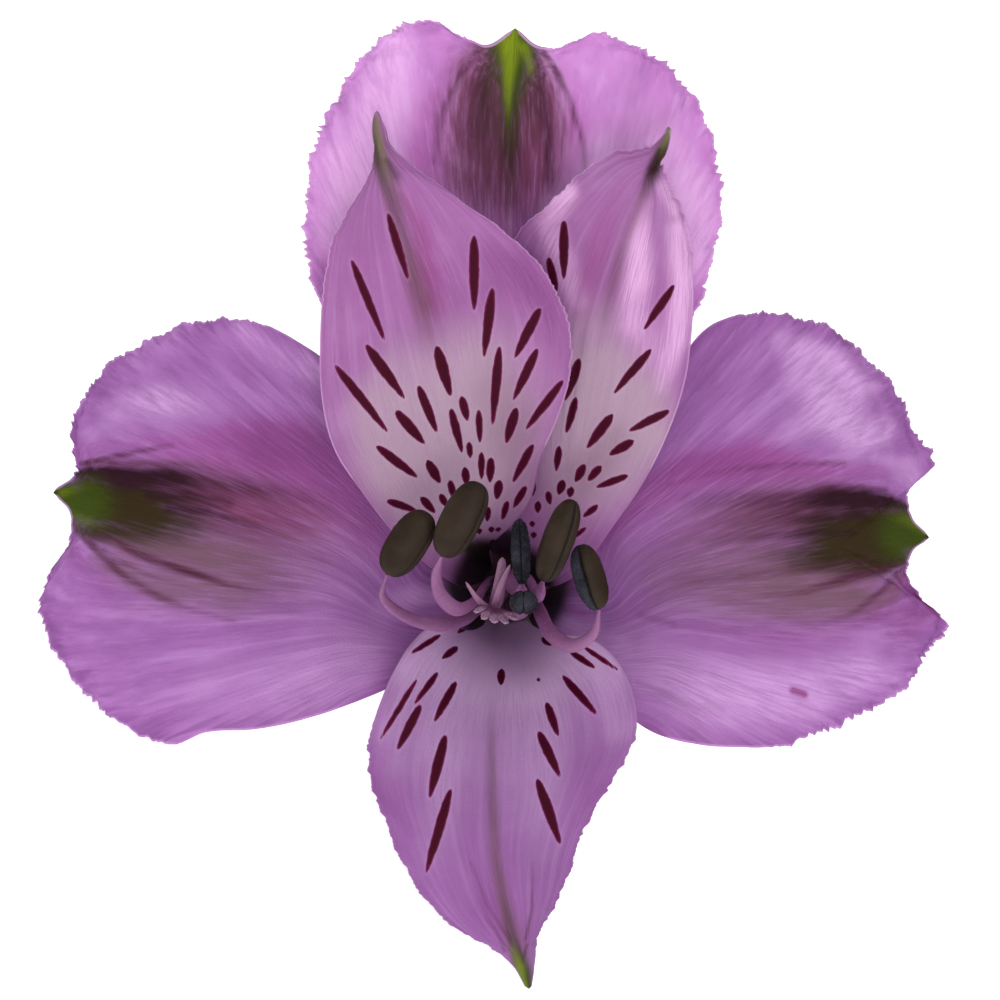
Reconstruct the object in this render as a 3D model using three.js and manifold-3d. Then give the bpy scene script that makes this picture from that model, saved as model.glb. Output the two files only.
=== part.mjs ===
// One open alstroemeria bloom on its own stalk, cut from the umbel and lying on a table.
//
// The bloom is drawn in its own frame, in millimetres: x to the right and y up as one looks
// into the throat, z out of the throat along the bloom's axis, with the top of the ovary at
// z = 0. Two nested groups then roll and tip the bloom into the pose in which it lies.

import * as THREE from "three";
import Module from "manifold-3d";

const wasm = await Module();
wasm.setup();

// ---------------------------------------------------------------- driving dimensions, mm

const BLADE_THICKNESS = 0.7;
const SEAT_GAP = 0.3; // every organ stands this far off the one that carries it
const OVARY = { length: 8, waistRadius: 3.9, ribs: 6, ribDepth: 0.22, sides: 24 };
const PEDICEL = { radius: 1.2, sides: 10, steps: 14 };
const FILAMENT = { width: 0.95, thickness: 0.55, sides: 6, steps: 14 };
const STYLE = { radius: 0.36, sides: 8, steps: 8 };
const STIGMA = { baseRadius: 0.42, tipRadius: 0.24, steps: 5 };
const ANTHER = { groove: 0.24, sides: 12, rings: 8 };
const TOOTH = 0.3; // how far the teeth of a blade's margin stand in from it

// How the bloom lies: rolled about its own axis, then with its face tipped up from the table.
const LIE = { rollDeg: 31.111, faceUpDeg: 23.892, x: 2.400, y: -10.361, z: 13.921 };

const rad = THREE.MathUtils.degToRad;

// ---------------------------------------------------------------- smooth lines

// The value at s of the smooth curve through values that stand one unit of s apart.
function through(values, s) {
  const last = values.length - 1;
  const i = Math.min(last - 1, Math.max(0, Math.ceil(s) - 1));
  const tangent = (k) => {
    if (k === 0) return values[1] - values[0];
    if (k === last) return values[last] - values[last - 1];
    return (values[k + 1] - values[k - 1]) / 2;
  };
  const u = s - i;
  return (
    values[i] * (1 + 2 * u) * (1 - u) ** 2 +
    tangent(i) * u * (1 - u) ** 2 +
    values[i + 1] * u * u * (3 - 2 * u) +
    tangent(i + 1) * u * u * (u - 1)
  );
}

// A smooth line through points x y z: its place at s, counted in points from the first.
function lineThrough(points) {
  const columns = [0, 1, 2].map((c) => points.map((p) => p[c]));
  return (s) => new THREE.Vector3(...columns.map((values) => through(values, s)));
}

// ---------------------------------------------------------------- solids from grids of points

// The closed solid between rings of points, each ring the same count round, with fan ends.
function ringSolid(rings) {
  const sides = rings[0].length;
  const points = rings.flat();
  const triangles = [];
  for (let i = 0; i < rings.length - 1; i += 1) {
    for (let j = 0; j < sides; j += 1) {
      const [a, b] = [i * sides + j, i * sides + ((j + 1) % sides)];
      triangles.push(a, b, b + sides, a, b + sides, a + sides);
    }
  }
  for (const [ring, first] of [[rings[0], 0], [rings[rings.length - 1], points.length - sides]]) {
    const centre = points.push(ring.reduce((sum, p) => sum.add(p), new THREE.Vector3()).divideScalar(sides)) - 1;
    for (let j = 0; j < sides; j += 1) {
      const [a, b] = [first + j, first + ((j + 1) % sides)];
      triangles.push(...(first === 0 ? [centre, b, a] : [centre, a, b]));
    }
  }
  return indexedGeometry(points, triangles);
}

function indexedGeometry(points, triangles) {
  const geometry = new THREE.BufferGeometry();
  geometry.setAttribute("position", new THREE.Float32BufferAttribute(points.flatMap((p) => p.toArray()), 3));
  geometry.setIndex(triangles);
  return geometry;
}

// A stalk along a smooth line through points, with an oval section: size(f) gives its half-width
// and half-thickness at f, from 0 to 1. Its wide side starts out level with `wide`.
function stalk(points, { steps, sides, wide, size }) {
  const line = lineThrough(points);
  const last = points.length - 1;
  const side = wide.clone();
  const rings = [];
  for (let i = 0; i <= steps; i += 1) {
    const s = (last * i) / steps;
    const along = line(Math.min(last, s + 0.1)).sub(line(Math.max(0, s - 0.1))).normalize();
    side.addScaledVector(along, -side.dot(along)).normalize();
    const flat = along.clone().cross(side);
    const [halfWidth, halfThickness] = size(i / steps);
    rings.push([]);
    for (let j = 0; j < sides; j += 1) {
      const angle = (2 * Math.PI * j) / sides;
      const point = line(s).addScaledVector(side, halfWidth * Math.cos(angle));
      rings[i].push(point.addScaledVector(flat, halfThickness * Math.sin(angle)));
    }
  }
  return ringSolid(rings);
}

// ---------------------------------------------------------------- tepals

// A tepal is a blade through rows from its claw on the ovary to its tip. A row is three points,
// x y z: the left margin, the midrib and the right margin, seen with the tip up.
const TEPALS = {
  tepal_outer_top: [
    [[-1.2, 2.6, 0.4], [0, 2.9, 0.4], [1.2, 2.6, 0.4]],
    [[-2.2, 3.95, 6.4], [0, 4.7, 6.2], [2.2, 3.95, 6.4]],
    [[-4.3, 6.4, 11.2], [0, 7.7, 10.6], [4.3, 6.4, 11.2]],
    [[-6.8, 10, 14.9], [0, 11.5, 14.2], [6.8, 10, 14.9]],
    [[-9.6, 14.2, 17.6], [0, 15.8, 16.6], [9.8, 14.2, 17.6]],
    [[-12.8, 19, 19.2], [0.1, 20.6, 18.4], [13.2, 19.2, 19.2]],
    [[-14.4, 23.4, 19.8], [0.1, 24.2, 19.4], [14.7, 23.8, 20]],
    [[-14.4, 27.8, 19.6], [0.2, 27, 20.1], [15.3, 27.4, 20.2]],
    [[-14, 31.3, 19.4], [0.3, 29.4, 20.56], [14.8, 31.4, 20]],
    [[-12.6, 34.4, 19.6], [0.31, 32.14, 21.18], [13.4, 34.95, 20]],
    [[-11, 37.2, 20.2], [0.39, 33.35, 21.45], [11, 37.6, 20.4]],
    [[-8.6, 39.6, 21], [0.41, 33.94, 21.57], [8.7, 38.9, 21.2]],
    [[-6, 40.6, 21.8], [0.41, 34.24, 21.62], [6.3, 39.6, 21.8]],
    [[-3.41, 39.46, 22.2], [0.4, 34.61, 21.69], [3.8, 38.65, 22.2]],
    [[-1.52, 38.71, 22.6], [0.4, 35.49, 21.86], [2.08, 38.68, 22.6]],
    [[0.2, 39.7, 22.9], [0.5, 39.9, 22.9], [0.8, 39.7, 22.9]],
  ],
  tepal_outer_left: [
    [[-1.6, -2.4, 0.4], [-2.5, -1.5, 0.4], [-2.9, -0.2, 0.4]],
    [[-2.4, -3.95, 6.4], [-4.1, -2.3, 6.2], [-4.75, 1.2, 6.4]],
    [[-4.2, -5.3, 11.2], [-6.8, -2.5, 10.6], [-6.1, 2.4, 11]],
    [[-7.2, -6.6, 14.8], [-10.2, -1.2, 14.2], [-6.7, 6.4, 14.3]],
    [[-11, -8.2, 16.8], [-14, 0.7, 16.4], [-9, 10.8, 16.8]],
    [[-14.6, -9.4, 17.6], [-17.4, 2.4, 17.8], [-12.2, 15.4, 18.6]],
    [[-18, -10.1, 17.7], [-19.4, 3.3, 18.5], [-15, 17.6, 19.2]],
    [[-21.5, -10.3, 17.4], [-21.2, 4, 18.9], [-18, 19, 19.2]],
    [[-24.3, -11.2, 17], [-23.01, 4.64, 19.11], [-21.6, 19.2, 18.8]],
    [[-28.5, -9.25, 16.9], [-24.49, 5.13, 19.2], [-25, 18.1, 18.2]],
    [[-31.05, -6.6, 17], [-25.46, 5.41, 19.21], [-28.4, 16.1, 17.8]],
    [[-32.8, -3.8, 17], [-26.86, 5.74, 19.12], [-30.3, 13.7, 17.6]],
    [[-33.5, -1.4, 17.1], [-27.43, 5.89, 19.07], [-31.2, 11.6, 17.6]],
    [[-32.8, 1.1, 17.3], [-27.81, 6, 19.04], [-31.1, 9.6, 17.8]],
    [[-31.36, 3.29, 17.7], [-28.27, 6.12, 18.99], [-30.9, 8.51, 18]],
    [[-31.26, 5.42, 18], [-29.15, 6.29, 18.81], [-31.19, 7.78, 18.1]],
    [[-32.3, 6.6, 18.1], [-32.5, 6.8, 18.1], [-32.3, 7.1, 18.1]],
  ],
  tepal_outer_right: [
    [[2.9, -0.2, 0.4], [2.5, -1.5, 0.4], [1.6, -2.4, 0.4]],
    [[4.75, 1.2, 6.4], [4.1, -2.3, 6.2], [2.4, -3.95, 6.4]],
    [[6.1, 2.4, 11], [6.8, -2.5, 10.6], [4.2, -5.3, 11.2]],
    [[6.6, 6.4, 13.6], [9.8, -1.7, 14.2], [7.2, -8, 14.8]],
    [[8.9, 10.6, 16], [13.2, -0.2, 16.4], [10.3, -10.3, 16.8]],
    [[11.6, 15.2, 17.4], [16.2, 1.2, 17.8], [13.6, -11.2, 17.6]],
    [[14.15, 18.55, 18], [17.61, 1.68, 18.37], [16.6, -11.4, 17.8]],
    [[17.2, 19.6, 17.6], [19.52, 2.23, 18.85], [19.6, -11.3, 17.6]],
    [[20.4, 19.5, 17], [20.67, 2.52, 19.02], [22.6, -10.3, 17.4]],
    [[23.6, 18.3, 16.6], [21.83, 2.79, 19.14], [25.5, -8.9, 17.2]],
    [[26.2, 16, 16.6], [22.3, 2.89, 19.17], [28.25, -7.3, 17.1]],
    [[28.21, 13.5, 16.8], [22.52, 2.93, 19.18], [30.1, -4.7, 17.1]],
    [[29, 11.23, 17.1], [22.75, 2.97, 19.19], [31.3, -2.5, 17.3]],
    [[30.57, 9.03, 17.4], [23.04, 3.03, 19.2], [29.46, -0.61, 17.6]],
    [[28.7, 6.94, 17.8], [23.62, 3.12, 19.21], [28.6, 1.2, 18]],
    [[28.84, 5.04, 18.1], [25.44, 3.3, 19.1], [28.89, 2.64, 18.1]],
    [[29.9, 3.9, 18.1], [30.1, 3.6, 18.1], [29.9, 3.4, 18.1]],
  ],
  tepal_inner_left: [
    [[-2, 0.3, 0.4], [-1.8, 1, 0.4], [-1.2, 1.6, 0.4]],
    [[-3.45, 0.1, 6.4], [-2.8, 2, 6.2], [-1.25, 2.95, 6.4]],
    [[-5.5, 1.4, 12], [-3.4, 3.7, 11.4], [0.2, 4.5, 11.8]],
    [[-8, 3.7, 16.6], [-3.4, 6.4, 15.8], [1.6, 6.3, 16]],
    [[-10.4, 6.8, 19.6], [-3.5, 9.6, 19.2], [2.3, 9.2, 19.4]],
    [[-12.4, 9.9, 21.6], [-3.9, 13, 21.8], [3.5, 12, 21.6]],
    [[-13.3, 13.6, 23], [-4.6, 16.4, 23.6], [4.4, 15, 23.4]],
    [[-13.4, 17.4, 24], [-5.5, 19.8, 25], [4.5, 18.2, 24.8]],
    [[-13.2, 21, 24.8], [-6.49, 22.79, 26.19], [3.6, 20.8, 26.2]],
    [[-12.7, 24.2, 25.8], [-7.48, 25.35, 27.18], [2, 23.3, 27.4]],
    [[-11.5, 26.7, 27], [-8.43, 28.37, 28.54], [-0.4, 25.5, 28.4]],
    [[-10.2, 28.69, 28.2], [-8.81, 30.1, 29.31], [-3, 27.3, 29.2]],
    [[-9.63, 30.08, 29], [-8.86, 30.74, 29.51], [-6.04, 29.51, 29.77]],
    [[-9.5, 31.39, 29.57], [-9.13, 32.25, 30.09], [-8.18, 31.19, 30.1]],
    [[-9.6, 32.67, 30], [-9.27, 33.56, 30.38], [-8.7, 32.56, 30.18]],
    [[-9.5, 33.7, 30.4], [-9.3, 33.9, 30.4], [-9.1, 33.7, 30.4]],
  ],
  tepal_inner_right: [
    [[1.2, 1.6, 0.4], [1.8, 1, 0.4], [2, 0.3, 0.4]],
    [[1.5, 2.8, 6.4], [2.8, 2, 6.2], [3.45, 0.1, 6.4]],
    [[0.4, 5.1, 11], [3.6, 3.6, 10.8], [5.4, 1.4, 11.4]],
    [[0.9, 7.7, 14.6], [4.2, 6.2, 14.6], [7.4, 4.2, 15.4]],
    [[0.6, 10.4, 17.4], [4.5, 9.4, 17.6], [9.6, 7.4, 18.2]],
    [[0.2, 13.4, 19.4], [4.9, 13, 20], [11.4, 11, 20.2]],
    [[-0.3, 16.6, 21], [5.4, 16.4, 21.8], [12.6, 14.6, 21.6]],
    [[-0.6, 19.6, 22.2], [6.1, 19.6, 23.2], [13.1, 18.2, 22.6]],
    [[-0.4, 22.4, 23.2], [6.94, 22.22, 24.33], [13.2, 21.6, 23.4]],
    [[0.6, 25.2, 24.4], [8.03, 25.07, 25.43], [13, 24.6, 24.2]],
    [[2.7, 27.2, 25.4], [9, 27.42, 26.28], [12.4, 27, 25.2]],
    [[5, 29.4, 26.2], [9.45, 28.37, 26.62], [11.6, 28.8, 26.2]],
    [[7.43, 31.04, 26.8], [9.63, 28.87, 26.76], [10.91, 30.1, 27]],
    [[9.91, 31.41, 27.2], [9.98, 29.59, 27.01], [11.31, 31.03, 27.4]],
    [[10.76, 31.96, 27.62], [10.58, 30.91, 27.46], [11.53, 31.91, 27.71]],
    [[11.2, 32.6, 28], [11.4, 32.8, 28], [11.6, 32.6, 28]],
  ],
  tepal_inner_lower: [
    [[0.7, -1.9, 0.4], [0, -2, 0.4], [-0.7, -1.9, 0.4]],
    [[1.9, -2.85, 6.4], [0, -3.4, 6.2], [-1.9, -2.85, 6.4]],
    [[3.4, -3.4, 12], [-0.1, -4.9, 11.2], [-3, -3.1, 12]],
    [[5.8, -3.6, 16], [-0.6, -7, 15.2], [-5.1, -2.6, 16]],
    [[7.9, -5.3, 18.4], [-1, -9.8, 18.2], [-7, -4.1, 18.4]],
    [[9, -7.9, 19.6], [-1.1, -12.5, 20], [-8.6, -6.9, 19.6]],
    [[9.1, -10.6, 20], [-1.1, -14.9, 21], [-9.8, -10.3, 20]],
    [[7.8, -13.2, 20.4], [-1.1, -17.2, 21.6], [-9.9, -13.4, 20.2]],
    [[6.2, -15.8, 20.6], [-1, -19.3, 21.8], [-8.8, -16.6, 20.4]],
    [[5, -18.4, 20.6], [-0.7, -21.3, 21.8], [-7.6, -19.5, 20.4]],
    [[4.2, -20.8, 20.4], [-0.2, -23.1, 21.6], [-6, -22.1, 20.2]],
    [[3.1, -23, 20.2], [0.3, -24.7, 21.2], [-3.7, -24.3, 20.2]],
    [[2.1, -24.9, 20], [0.8, -26.1, 20.6], [-1.1, -25.7, 20]],
    [[1.8, -26.7, 19.6], [1.2, -27.3, 19.8], [0.5, -27, 19.6]],
    [[1.7, -28.4, 19.2], [1.5, -28.6, 19.2], [1.2, -28.4, 19.2]],
  ],
};

const COLUMNS = 10;
const STEPS = 2; // mesh rows from one row of points to the next

// How far the margin stands in at a mesh row: a tooth's notch between every two rows of points.
function notch(i, last, margin) {
  if (i % STEPS === 0 || i < 0.35 * last || i > last - 2) return 0;
  return TOOTH * (0.6 + 0.4 * Math.sin(7.3 * i + 2.1 * margin));
}

// The tepal's middle sheet at row s and at t across it, from -1 to 1: the point and the normal there.
function sheet({ left, midrib, right, rows }, s, t) {
  const tangent = midrib(Math.min(rows, s + 0.2)).sub(midrib(Math.max(0, s - 0.2)));
  const up = right(s).sub(left(s)).cross(tangent).normalize();
  const centre = midrib(s);
  const margin = (t < 0 ? left : right)(s).sub(centre);
  const lift = margin.dot(up);
  margin.addScaledVector(up, -lift);
  const slope = (2 * lift * Math.abs(t)) / margin.lengthSq();
  return {
    point: centre.addScaledVector(margin, Math.abs(t)).addScaledVector(up, lift * t * t),
    normal: up.addScaledVector(margin, -slope).normalize(),
  };
}

// The blade as a closed shell: both faces on the same grid, split alike, and a rim between them.
function tepalGeometry(points) {
  const [left, midrib, right] = [0, 1, 2].map((k) => lineThrough(points.map((row) => row[k])));
  const lines = { left, midrib, right, rows: points.length - 1 };
  const last = STEPS * lines.rows;
  const [front, rear] = [[], []];
  for (let i = 0; i <= last; i += 1) {
    for (let j = 0; j <= COLUMNS; j += 1) {
      const t = (2 * j) / COLUMNS - 1;
      const { point, normal } = sheet(lines, i / STEPS, t);
      if (Math.abs(t) === 1) {
        point.addScaledVector(midrib(i / STEPS).sub(point).normalize(), notch(i, last, t));
      }
      front.push(point.clone().addScaledVector(normal, BLADE_THICKNESS / 2));
      rear.push(point.clone().addScaledVector(normal, -BLADE_THICKNESS / 2));
    }
  }
  const back = front.length;
  const index = (i, j) => i * (COLUMNS + 1) + j;
  const triangles = [];
  for (let i = 0; i < last; i += 1) {
    for (let j = 0; j < COLUMNS; j += 1) {
      const [a, b, c, d] = [index(i, j), index(i, j + 1), index(i + 1, j + 1), index(i + 1, j)];
      triangles.push(a, b, c, a, c, d);
      triangles.push(back + a, back + c, back + b, back + a, back + d, back + c);
    }
  }
  const rim = (a, b) => triangles.push(a, back + a, back + b, a, back + b, b);
  for (let j = 0; j < COLUMNS; j += 1) {
    rim(index(0, j), index(0, j + 1));
    rim(index(last, j + 1), index(last, j));
  }
  for (let i = 0; i < last; i += 1) {
    rim(index(i + 1, 0), index(i, 0));
    rim(index(i, COLUMNS), index(i + 1, COLUMNS));
  }
  return indexedGeometry([...front, ...rear], triangles);
}

// ---------------------------------------------------------------- stamens

// A stamen is a ribbon-like filament through points x y z up to the foot of its anther, and an
// anther from that foot to its top, with its width and depth.
const STAMENS = [
  {
    filament: [[-0.9, -0.53, 0.3], [-1.6, -1, 7], [-2.3, -1.5, 13], [-3.3, -2.2, 18], [-5.1, -2.6, 21.2], [-7.3, -2, 23.8],
      [-8.9, -0.6, 24.9]],
    foot: [-8.6, 1, 25.6], top: [-5.7, 5.4, 26], width: 2.9, depth: 1.8,
  },
  {
    filament: [[-0.9, 0.53, 0.3], [-1.4, 0.4, 7], [-1.8, -0.1, 13], [-2.4, -1, 18.5], [-3.6, -1.5, 21.6], [-4.8, -0.5, 24.2],
      [-5.1, 1, 26]],
    foot: [-4.7, 2.3, 27], top: [-2, 7.5, 28], width: 2.9, depth: 1.8,
  },
  {
    filament: [[0, 1.05, 0.3], [0, 1.1, 7], [0.1, 0.7, 13], [0.5, -0.1, 19], [0.9, -0.3, 23.5]],
    foot: [1, 0.3, 25.8], top: [0.8, 4.9, 26.4], width: 1.3, depth: 1.2,
  },
  {
    filament: [[0, -1.05, 0.3], [0.1, -1.5, 7], [0.4, -2, 13], [0.8, -1.9, 19], [1.1, -1.5, 23]],
    foot: [1.1, -1.2, 25.2], top: [1.1, -0.8, 29.4], width: 1.9, depth: 1.6,
  },
  {
    filament: [[0.9, 0.53, 0.3], [1.4, 0.7, 7], [1.7, 0.3, 13], [2, -0.5, 19], [2.3, -0.3, 24]],
    foot: [2.5, 0.5, 26.8], top: [4.6, 6.3, 28.2], width: 2.3, depth: 1.7,
  },
  {
    filament: [[0.9, -0.53, 0.3], [1.6, -0.9, 7], [2.1, -1.4, 13], [2.4, -2, 18], [3.1, -3.3, 20.8], [4.6, -4.1, 22.6],
      [6.1, -3.2, 23.8]],
    foot: [6.5, -1.5, 24.6], top: [5.1, 3.1, 25.2], width: 2.3, depth: 1.7,
  },
];

// The filament ends short of the anther's foot by the seat gap.
function filamentGeometry({ filament, foot }) {
  const tip = new THREE.Vector3(...foot);
  const before = new THREE.Vector3(...filament[filament.length - 1]);
  tip.addScaledVector(before.sub(tip).normalize(), SEAT_GAP);
  const start = new THREE.Vector3(...filament[0]);
  return stalk([...filament, tip.toArray()], {
    steps: FILAMENT.steps,
    sides: FILAMENT.sides,
    wide: new THREE.Vector3(-start.y, start.x, 0),
    size: (f) => {
      const swell = 0.72 + 0.4 * Math.sin(Math.PI * f);
      return [(FILAMENT.width / 2) * swell, (FILAMENT.thickness / 2) * swell];
    },
  });
}

// Two long pollen sacs side by side, with a groove between them down the face and the back.
function antherGeometry({ foot, top, width, depth }) {
  const base = new THREE.Vector3(...foot);
  const axis = new THREE.Vector3(...top).sub(base);
  const along = axis.clone().normalize();
  const face = new THREE.Vector3(0, 0, 1).addScaledVector(along, -along.z).normalize();
  const side = face.clone().cross(along);
  const rings = [];
  for (let i = 0; i < ANTHER.rings; i += 1) {
    const f = (i + 0.5) / ANTHER.rings;
    const swell = (1 - Math.abs(2 * f - 1) ** 2.4) ** (1 / 2.4);
    rings.push([]);
    for (let j = 0; j < ANTHER.sides; j += 1) {
      const angle = (2 * Math.PI * j) / ANTHER.sides;
      const groove = 1 - ANTHER.groove * Math.exp(-((Math.cos(angle) / 0.3) ** 2));
      const point = base.clone().addScaledVector(axis, f);
      point.addScaledVector(side, (width / 2) * swell * Math.cos(angle));
      rings[i].push(point.addScaledVector(face, (depth / 2) * swell * groove * Math.sin(angle)));
    }
  }
  return ringSolid(rings);
}

// ---------------------------------------------------------------- pistil and stalk

const STYLE_LINE = [[0, 0, 0.3], [-0.1, -0.2, 7], [-0.4, -0.7, 13], [-0.9, -1.4, 19], [-1.2, -1.7, 21.6]];
const STIGMA_LOBES = [
  [[-1.2, -1.7, 21.2], [-1.9, -0.9, 23], [-3, 0.5, 24.6]],
  [[-1.2, -1.7, 21.2], [-0.8, -0.7, 23], [-0.1, 1.5, 24.8]],
  [[-1.2, -1.7, 21.2], [-0.7, -2.1, 22.8], [-0.1, -2.3, 24.2]],
];

function toManifold(geometry) {
  const mesh = new wasm.Mesh({
    numProp: 3,
    vertProperties: new Float32Array(geometry.attributes.position.array),
    triVerts: new Uint32Array(geometry.index.array),
  });
  mesh.merge();
  return new wasm.Manifold(mesh);
}

function fromManifold(manifold) {
  const mesh = manifold.getMesh();
  const geometry = new THREE.BufferGeometry();
  geometry.setAttribute("position", new THREE.Float32BufferAttribute(mesh.vertProperties, 3));
  geometry.setIndex([...mesh.triVerts]);
  return geometry;
}

// The style with the three arms of its stigma.
function styleGeometry() {
  const wide = new THREE.Vector3(1, 0, 0);
  const column = stalk(STYLE_LINE, { ...STYLE, wide, size: () => [STYLE.radius, STYLE.radius] });
  const arms = STIGMA_LOBES.map((points) => stalk(points, {
    steps: STIGMA.steps,
    sides: STYLE.sides,
    wide,
    size: (f) => {
      const radius = THREE.MathUtils.lerp(STIGMA.baseRadius, STIGMA.tipRadius, f);
      return [radius, radius];
    },
  }));
  return fromManifold(wasm.Manifold.union([column, ...arms].map(toManifold)));
}

// The ovary below the tepals, top-shaped with a rib under each tepal.
function ovaryGeometry() {
  const profile = [[-1, 0.38], [-0.92, 0.5], [-0.78, 0.74], [-0.6, 0.92], [-0.4, 1], [-0.2, 0.98], [-0.06, 0.92], [0, 0.84]];
  const rings = profile.map(([z, share]) => {
    const ring = [];
    for (let j = 0; j < OVARY.sides; j += 1) {
      const angle = (2 * Math.PI * j) / OVARY.sides;
      const rib = OVARY.ribDepth * share * Math.cos(OVARY.ribs * (angle - Math.PI / 2));
      const radius = OVARY.waistRadius * share + rib;
      ring.push(new THREE.Vector3(radius * Math.cos(angle), radius * Math.sin(angle), OVARY.length * z));
    }
    return ring;
  });
  return ringSolid(rings);
}

// The flower's own stalk, from its cut end to the neck of the ovary.
const PEDICEL_LINE = [[4.6, 6.8, -50], [3.1, 4.6, -41.5], [1.8, 2.7, -33], [0.8, 1.2, -24], [0.2, 0.3, -16], [0, 0, -8.4]];

function pedicelGeometry() {
  return stalk(PEDICEL_LINE, {
    steps: PEDICEL.steps,
    sides: PEDICEL.sides,
    wide: new THREE.Vector3(1, 0, 0),
    size: (f) => {
      const radius = PEDICEL.radius * (1 + 0.22 * THREE.MathUtils.smoothstep(f, 0.8, 1));
      return [radius, radius];
    },
  });
}

// ---------------------------------------------------------------- assembly

const skin = (color, roughness) => new THREE.MeshStandardMaterial({ color, roughness, metalness: 0 });
const MATERIALS = {
  outerTepal: skin(0xb571be, 0.55),
  innerTepal: skin(0xbb86c0, 0.55),
  filament: skin(0xa466a2, 0.5),
  anther: skin(0x3f3a2c, 0.75),
  style: skin(0xc07aa8, 0.55),
  ovary: skin(0x6d8a3a, 0.55),
  pedicel: skin(0x74903f, 0.55),
};

const bloom = new THREE.Group();
bloom.name = "bloom";
bloom.rotation.z = rad(LIE.rollDeg);
const stalked = new THREE.Group();
stalked.name = "laid_down";
stalked.rotation.x = rad(90 - LIE.faceUpDeg);
stalked.position.set(LIE.x, LIE.y, LIE.z);
stalked.add(bloom);
const stem = new THREE.Group();
stem.name = "alstroemeria_stem";
stem.add(stalked);

function add(name, geometry, material) {
  geometry.computeVertexNormals();
  const mesh = new THREE.Mesh(geometry, material);
  mesh.name = name;
  bloom.add(mesh);
}

for (const [name, points] of Object.entries(TEPALS)) {
  add(name, tepalGeometry(points), name.includes("outer") ? MATERIALS.outerTepal : MATERIALS.innerTepal);
}
STAMENS.forEach((stamen, k) => {
  add(`filament_${k + 1}`, filamentGeometry(stamen), MATERIALS.filament);
  add(`anther_${k + 1}`, antherGeometry(stamen), MATERIALS.anther);
});
add("style", styleGeometry(), MATERIALS.style);
add("ovary", ovaryGeometry(), MATERIALS.ovary);
add("pedicel", pedicelGeometry(), MATERIALS.pedicel);

export default stem;
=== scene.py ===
"""One open alstroemeria bloom on its own stalk, cut from the umbel and lying on a table.

Everything is drawn in the bloom's own frame, in millimetres: x to the right and y up as one looks
into the throat, z out of the throat along the bloom's axis, with the top of the ovary at z = 0.
Lie turns that frame into the pose in which the bloom lies, in metres.
"""

import logging
import math
from dataclasses import dataclass
from enum import Enum, IntEnum

import bpy
import numpy as np
from mathutils import Matrix, Vector


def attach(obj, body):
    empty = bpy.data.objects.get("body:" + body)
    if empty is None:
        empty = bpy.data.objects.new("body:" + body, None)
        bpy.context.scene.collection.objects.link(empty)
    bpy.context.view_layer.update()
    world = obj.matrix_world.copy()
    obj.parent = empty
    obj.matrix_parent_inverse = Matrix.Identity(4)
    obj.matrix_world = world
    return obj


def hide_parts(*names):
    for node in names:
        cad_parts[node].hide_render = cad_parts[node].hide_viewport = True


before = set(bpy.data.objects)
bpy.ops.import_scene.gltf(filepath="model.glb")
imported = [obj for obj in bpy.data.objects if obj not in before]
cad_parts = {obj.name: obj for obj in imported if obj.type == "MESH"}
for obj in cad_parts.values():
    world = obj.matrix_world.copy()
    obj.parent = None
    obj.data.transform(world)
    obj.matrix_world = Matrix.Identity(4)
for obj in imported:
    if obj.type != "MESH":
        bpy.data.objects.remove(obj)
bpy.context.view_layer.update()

Tree, Node, Socket = bpy.types.NodeTree, bpy.types.Node, bpy.types.NodeSocket
Thing, Material = bpy.types.Object, bpy.types.Material
Array, Fields = np.ndarray, dict[str, np.ndarray]
Pair, Triple = tuple[float, float], tuple[float, float, float]
MM = 0.001
BODY = "root"
log = logging.getLogger("alstroemeria")

# ---- shapes, in bloom millimetres

# A tepal's rows run from its claw on the ovary to its tip. A row is three points: the left margin,
# the midrib and the right margin, seen with the tip up.
TEPAL_OUTER_TOP_ROWS = (
    ((-1.2, 2.6, 0.4), (0, 2.9, 0.4), (1.2, 2.6, 0.4)),
    ((-2.2, 3.95, 6.4), (0, 4.7, 6.2), (2.2, 3.95, 6.4)),
    ((-4.3, 6.4, 11.2), (0, 7.7, 10.6), (4.3, 6.4, 11.2)),
    ((-6.8, 10, 14.9), (0, 11.5, 14.2), (6.8, 10, 14.9)),
    ((-9.6, 14.2, 17.6), (0, 15.8, 16.6), (9.8, 14.2, 17.6)),
    ((-12.8, 19, 19.2), (0.1, 20.6, 18.4), (13.2, 19.2, 19.2)),
    ((-14.4, 23.4, 19.8), (0.1, 24.2, 19.4), (14.7, 23.8, 20)),
    ((-14.4, 27.8, 19.6), (0.2, 27, 20.1), (15.3, 27.4, 20.2)),
    ((-14, 31.3, 19.4), (0.3, 29.4, 20.56), (14.8, 31.4, 20)),
    ((-12.6, 34.4, 19.6), (0.31, 32.14, 21.18), (13.4, 34.95, 20)),
    ((-11, 37.2, 20.2), (0.39, 33.35, 21.45), (11, 37.6, 20.4)),
    ((-8.6, 39.6, 21), (0.41, 33.94, 21.57), (8.7, 38.9, 21.2)),
    ((-6, 40.6, 21.8), (0.41, 34.24, 21.62), (6.3, 39.6, 21.8)),
    ((-3.41, 39.46, 22.2), (0.4, 34.61, 21.69), (3.8, 38.65, 22.2)),
    ((-1.52, 38.71, 22.6), (0.4, 35.49, 21.86), (2.08, 38.68, 22.6)),
    ((0.2, 39.7, 22.9), (0.5, 39.9, 22.9), (0.8, 39.7, 22.9)),
)
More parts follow.
